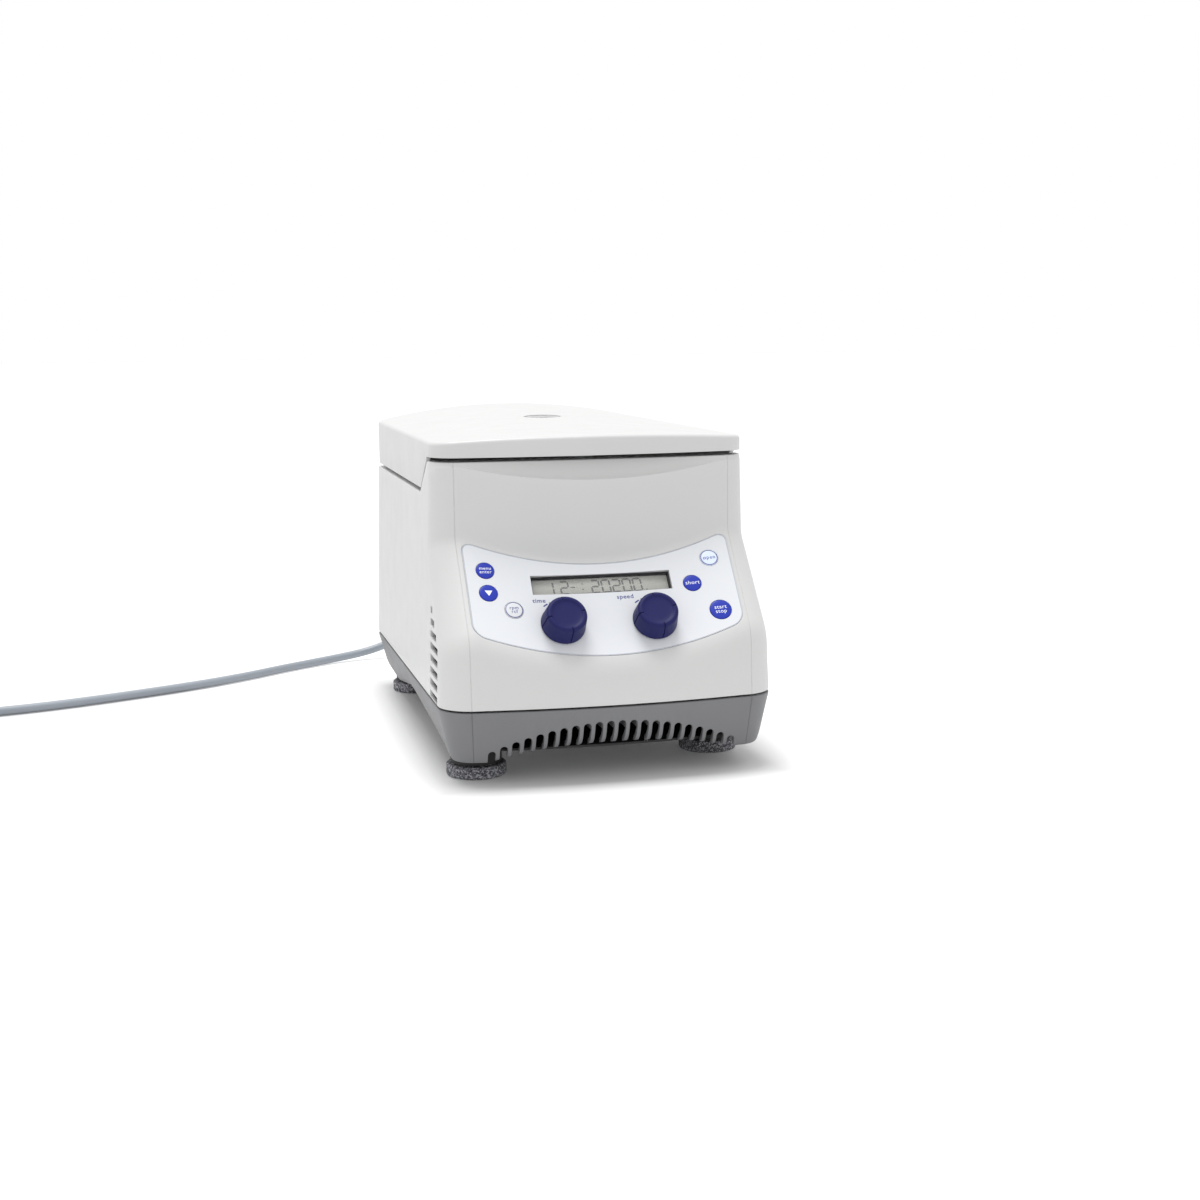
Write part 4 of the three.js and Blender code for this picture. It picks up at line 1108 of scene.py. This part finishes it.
def rear_fittings():
    shell = solid("inlet_shell", inlet_box(13.7, 9.7, REAR - 22, REAR + 0.4))
    cut(shell, solid("socket", inlet_box(11.6, 7.6, REAR - 16, REAR + 4)))
    bevel(shell, 0.5, 3)
    finish_piece(shell, "black_plastic", "root", ["mains_inlet"])
    for i, (x, z) in enumerate([(-7, -1.8), (0, 2.2), (7, -1.8)]):
        x += INLET_X
        z += INLET_Z
        pin = solid(f"inlet_pin_{i + 1}", box_faces(x - 1, x + 1, REAR - 16.5, REAR - 4.5, z - 2, z + 2))
        finish_piece(bevel(pin, 0.5, 2), "ground_steel", "root")
    x0, x1 = INLET_X + 24.6, INLET_X + 37.4
    rocker = [(REAR - 8, INLET_Z - 9.4), (REAR + 0.2, INLET_Z - 9.4), (REAR + 0.5, INLET_Z - 9.1)]
    rocker += [(REAR + 0.5 + 0.9 * t, INLET_Z - 9.1 + 9.1 * t) for t in (0.4, 0.7, 0.9)]
    rocker += [(REAR + 1.4 + 1.7 * t ** 1.3, INLET_Z + 9.0 * t) for t in (0.1, 0.4, 0.7)]
    rocker += [(REAR + 3.2, INLET_Z + 8.8), (REAR + 3.0, INLET_Z + 9.2), (REAR - 8, INLET_Z + 9.2)]
    switch = bevel(solid("switch_rocker", side_prism(rocker, x0, x1)), 0.35, 2)
    finish_piece(switch, "black_plastic", "switch", ["mains_switch"])
    for i, (x, z) in enumerate([(-91, 64), (-91, 108), (-91, 153), (93, 64), (93, 153), (-40, 153)]):
        outline = [(0, 0.3), (2.9, 0.3), (3.1, 0.6), (2.9, 1.5), (2.0, 2.1), (1.3, 2.25), (1.3, 1.2),
                   (0, 1.2)]
        place = Matrix.Translation((x * MM, REAR * MM, z * MM)) @ Matrix.Rotation(-math.pi / 2, 4, "X")
        finish_piece(turned_solid(f"panel_screw_{i + 1}", outline, 32, move=place), "zinc_steel", "root")


def connector():
    base = REAR + 0.9
    profile = [(-13.0, 10.2, 6.4, 5.0), (-12.4, 10.9, 6.9, 5.0), (-0.1, 10.9, 6.9, 5.0),
               (0.1, 11.0, 8.2, 4.0), (0.6, 11.6, 8.6, 4.0), (22.0, 12.4, 8.7, 3.6),
               (24.6, 12.0, 8.4, 3.2), (26.4, 10.6, 7.6, 2.8), (27.6, 8.0, 6.6, 2.3),
               (28.4, 6.3, 6.1, 2.0)]
    rings = [superellipse(INLET_X, INLET_Z, w, h, base + y, power) for y, w, h, power in profile]
    for i in range(6):
        y = 29.2 + 3.6 * i
        r = lerp(6.1, 4.3, i / 6)
        for dy, radius in ((0.0, r), (1.7, r - 0.1), (2.0, r - 0.75), (3.2, r - 0.8), (3.5, r - 0.25)):
            rings.append(superellipse(INLET_X, INLET_Z, radius, radius, base + y + dy, 2.0))
    rings.append(superellipse(INLET_X, INLET_Z, 4.2, 4.2, base + 54.2, 2.0))
    rings.append(superellipse(INLET_X, INLET_Z, 3.9, 3.9, base + 54.6, 2.0))
    piece = solid("lead_connector", loft([list(reversed(r)) for r in rings]))
    return finish_piece(piece, "plug_grey", "root", ["appliance_connector"])


# ---- Mains lead -----------------------------------------------------------------------------
LEAD = [(-55, 240.8, 72), (-55, 250, 70.4), (-56, 261, 64.4), (-59, 271, 54.6), (-64, 280, 43),
        (-71, 287.4, 31.6), (-80.5, 292.6, 22), (-92, 295.4, 14.8), (-106, 295.6, 9.6),
        (-122, 292.6, 6.4), (-142, 285.4, 4.6), (-166, 272, 3.8), (-193, 252.6, 3.8), (-222, 230, 3.8),
        (-252, 210, 3.8), (-283, 193, 3.8), (-314, 178, 3.8), (-345, 164.4, 3.8), (-373, 153.4, 3.8),
        (-398, 145.4, 3.8), (-421, 139.8, 3.8), (-440, 136.8, 3.8), (-456.3, 135.5, 3.7)]
TAIL = [(-525.5, 66.5, 17.3), (-525.5, 60, 16.8), (-525, 53, 15.6), (-524.4, 46, 14.2), (-524, 38, 13.2),
        (-524, 31, 13)]
COIL_OUTER, COIL_INNER = 43.5, 36.5


def coil_turns():
    """Four turns and a quarter: outer, inner, then the same two on top of them, and off the top layer."""
    first, rise, step = 3.6, 7.0, 15
    points = []
    for degrees in range(90, 90 + 4 * 360 + 90 + 1, step):
        turn, place = divmod(degrees - 90, 360)
        late = math.pi / 2 * smoothstep(place, 280, 360)
        early = math.pi / 2 * smoothstep(place, 190, 270)
        radius = (COIL_INNER + rise * math.cos(late), COIL_INNER,
                  COIL_INNER + rise * (1 - math.cos(early)), COIL_OUTER, COIL_OUTER)[turn]
        z = first + (0, rise * math.sin(late), rise, rise + rise * math.sin(early), 2 * rise)[turn]
        a = math.radians(degrees)
        points.append((COIL_X + radius * math.cos(a), COIL_Y + radius * math.sin(a), z))
    return points


def catmull_rom(points, spacing=3.0):
    """A smooth line through the points, sampled at about the spacing."""
    p = [Vector(q) for q in points]
    p = [p[0] * 2 - p[1]] + p + [p[-1] * 2 - p[-2]]
    out = []
    for a, b, c, d in zip(p, p[1:], p[2:], p[3:]):
        steps = max(2, round((c - b).length / spacing))
        for i in range(steps):
            t = i / steps
            cubic = (3 * b - a - 3 * c + d) * t ** 3
            out.append((2 * b + (c - a) * t + (2 * a - 5 * b + 4 * c - d) * t * t + cubic) / 2)
    return out + [p[-2]]


def plug():
    x, z = -523.5, 13.1
    profile = [(33.2, 4.0, 4.0, 2.0), (32.8, 4.4, 4.4, 2.0), (29.6, 4.9, 4.9, 2.0), (26.0, 5.8, 5.8, 2.0),
               (25.4, 7.6, 7.0, 2.2), (23.5, 11.5, 9.6, 2.6), (20.5, 15.4, 11.6, 3.0),
               (16.0, 17.6, 12.3, 3.4), (11.0, 18.6, 12.6, 3.6), (9.6, 18.9, 12.7, 3.6),
               (8.8, 18.4, 12.3, 3.6), (8.4, 17.4, 11.6, 3.6)]
    body = solid("plug_body", loft([superellipse(x, z, w, h, y, power) for y, w, h, power in profile]))
    for side in (-1, 1):
        for i in range(4):
            y = 13.5 + 2.4 * i
            cx = x + side * 19.4
            cut(body, solid("grip", box_faces(cx - 2.4, cx + 2.4, y - 0.55, y + 0.55, z - 7, z + 7)))
    finish_piece(bevel(body, 0.2, 2, 40), "plug_grey", "root", ["mains_plug"])
    pieces = [body]
    for i, side in enumerate((-1, 1)):
        outline = [(0, 0), (1.5, 0), (2.2, 0.6), (2.4, 1.6), (2.4, 17.5), (0, 17.5)]
        tip = Matrix.Translation(((x + side * 9.5) * MM, -7.8 * MM, z * MM))
        place = tip @ Matrix.Rotation(-math.pi / 2, 4, "X")
        pin = turned_solid(f"plug_pin_{i + 1}", outline, 32, move=place)
        finish_piece(pin, "ground_steel", "root")
        pieces.append(pin)
    return pieces


def coil_tie():
    """A hook-and-loop band round the turns of the coil."""
    half, thick = 6.0, 0.8
    place = on_spoke(math.radians(236), COIL_X, COIL_Y)

    def loop(grow):
        return rounded_rectangle(32.6 - grow, 47.4 + grow, 0.55 - 0.5 * grow, 14.6 + grow, 3.4, 6)

    band = solid("coil_tie", prism(loop(thick), place, -half, half))
    cut(band, solid("band_hole", prism(loop(0.0), place, -half - 3, half + 3)))
    return finish_piece(bevel(band, 0.15, 1), "black_rubber", "root")


def mains_lead():
    path = catmull_rom(LEAD + coil_turns() + TAIL)
    curve = bpy.data.curves.new("mains_lead", "CURVE")
    curve.dimensions = "3D"
    curve.bevel_depth = CORD_R * MM
    curve.bevel_resolution = 6
    curve.use_fill_caps = True
    spline = curve.splines.new("POLY")
    spline.points.add(len(path) - 1)
    for point, place in zip(spline.points, path):
        point.co = (*(place * MM), 1.0)
    spline.use_smooth = True
    piece = bpy.data.objects.new("mains_lead", curve)
    bpy.context.scene.collection.objects.link(piece)
    finish_piece(piece, "cord_grey", "root", ["cord_run", "cord_coil", "cord_tail"])
    with_pieces = [connector(), *plug(), coil_tie()]


# ---- Small metal and plastic parts kept from the frame --------------------------------------
def soften_nodes():
    """Rounds the sharp edges of the frame's own parts that show."""
    for name in ("rear_panel", "latch_hook", "lid_lock", "lid_striker", "hinge_bracket_left",
                 "hinge_bracket_right", "lid_arm_left", "lid_arm_right", "motor_plate", "power_board",
                 "control_board", "time_encoder", "speed_encoder"):
        modifier = NODES[name].modifiers.new("edges", "BEVEL")
        modifier.width = 0.35 * MM
        modifier.segments = 2
        modifier.limit_method = "ANGLE"
        modifier.angle_limit = math.radians(40)


def hinge_pin():
    outline = [(0, -82), (2.0, -82), (2.3, -81.6), (2.3, 81.6), (2.0, 82), (0, 82)]
    place = Matrix.Translation((0, HINGE_Y * MM, HINGE_Z * MM)) @ Matrix.Rotation(math.pi / 2, 4, "Y")
    finish_piece(turned_solid("pin", outline, 48, move=place), "ground_steel", "root", ["hinge_pin"])


# ---- Camera, light and floor ----------------------------------------------------------------
def stage():
    scene = bpy.context.scene
    focal_px, size_px = 1708.0, 1200.0
    yaw, pitch, roll = (math.radians(a) for a in (13.74, 8.88, -0.62))
    forward = Vector((math.sin(yaw) * math.cos(pitch), math.cos(yaw) * math.cos(pitch), -math.sin(pitch)))
    level = Vector((math.cos(yaw), -math.sin(yaw), 0))
    upright = level.cross(forward)
    right = level * math.cos(roll) + upright * math.sin(roll)
    up = -level * math.sin(roll) + upright * math.cos(roll)
    camera_data = bpy.data.cameras.new("camera")
    camera_data.sensor_width = 36.0
    camera_data.lens = focal_px * 36.0 / size_px
    camera_data.clip_start = 0.01
    camera = bpy.data.objects.new("camera", camera_data)
    scene.collection.objects.link(camera)
    camera.matrix_world = matrix_of((right, up, -forward), Vector((-0.2726, -1.2638, 0.2955)))
    scene.camera = camera

    corners = [(-20, -20, 0), (20, -20, 0), (20, 20, 0), (-20, 20, 0)]
    floor = mesh_object("floor", corners, [(0, 1, 2, 3)], 1.0)
    n = Nodes("floor_with_painted_light")
    size = n.add("ShaderNodeVectorMath", {0: n.coords}, operation="ABSOLUTE").outputs[0]
    beyond = n.add("ShaderNodeVectorMath", {0: size, 1: (0.115, 0.19, 0.0)},
                   operation="SUBTRACT").outputs[0]
    outside = n.add("ShaderNodeVectorMath", {0: beyond, 1: (0, 0, 0)}, operation="MAXIMUM").outputs[0]
    distance = n.add("ShaderNodeVectorMath", {0: outside}, operation="LENGTH").outputs["Value"]
    # Painted light: the floor glows by itself. The glow is faint under the casing, strongest about five
    # centimetres outside its outline and faint again far out, so the shadow under the casing stays dark
    # while the sun's shadow round it is washed out.
    painted_floor_light = n.ramp(n.add("ShaderNodeMath", {0: distance, 1: 6.0}, operation="MULTIPLY").outputs[0],
                  [(0.0, (0.05,) * 3), (0.12, (0.26,) * 3), (0.3, (0.46,) * 3), (0.6, (0.4,) * 3),
                   (1.0, (0.1,) * 3)])
    n.set(Base_Color=n.ramp(n.noise(3.0), [(0.3, (0.62, 0.62, 0.624)), (0.7, (0.632, 0.632, 0.636))]),
          Roughness=0.6, Emission_Color=painted_floor_light, Emission_Strength=1.0)
    floor.data.materials.append(n.material)

    world = bpy.data.worlds.new("studio")
    world.use_nodes = True
    world.node_tree.nodes["Background"].inputs["Color"].default_value = (1.0, 1.0, 1.0, 1.0)
    world.node_tree.nodes["Background"].inputs["Strength"].default_value = 1.0
    scene.world = world
    sun = bpy.data.lights.new("softbox", "SUN")
    sun.angle = math.radians(30)
    sun.energy = 2.2
    lamp = bpy.data.objects.new("softbox", sun)
    lamp.rotation_euler = Vector((-0.1, 0.12, 0.98)).to_track_quat("Z", "Y").to_euler()
    scene.collection.objects.link(lamp)
    scene.view_settings.view_transform = "Standard"


stage()
mains_lead()
for build in (upper_housing, base_tray, shadow_plate_under_base, feet, lid_shell, lid_fittings, keypad, display,
              printed_marks, knobs, keys, chamber, rotor, rear_fittings, hinge_pin, soften_nodes):
    build()

for node_name, node in NODES.items():
    slot_name = next(p["material_slot"] for p in frame["record"]["subparts"] if p["node"] == node_name)
    node.data.materials.clear()
    node.data.materials.append(MATERIALS[slot_name])
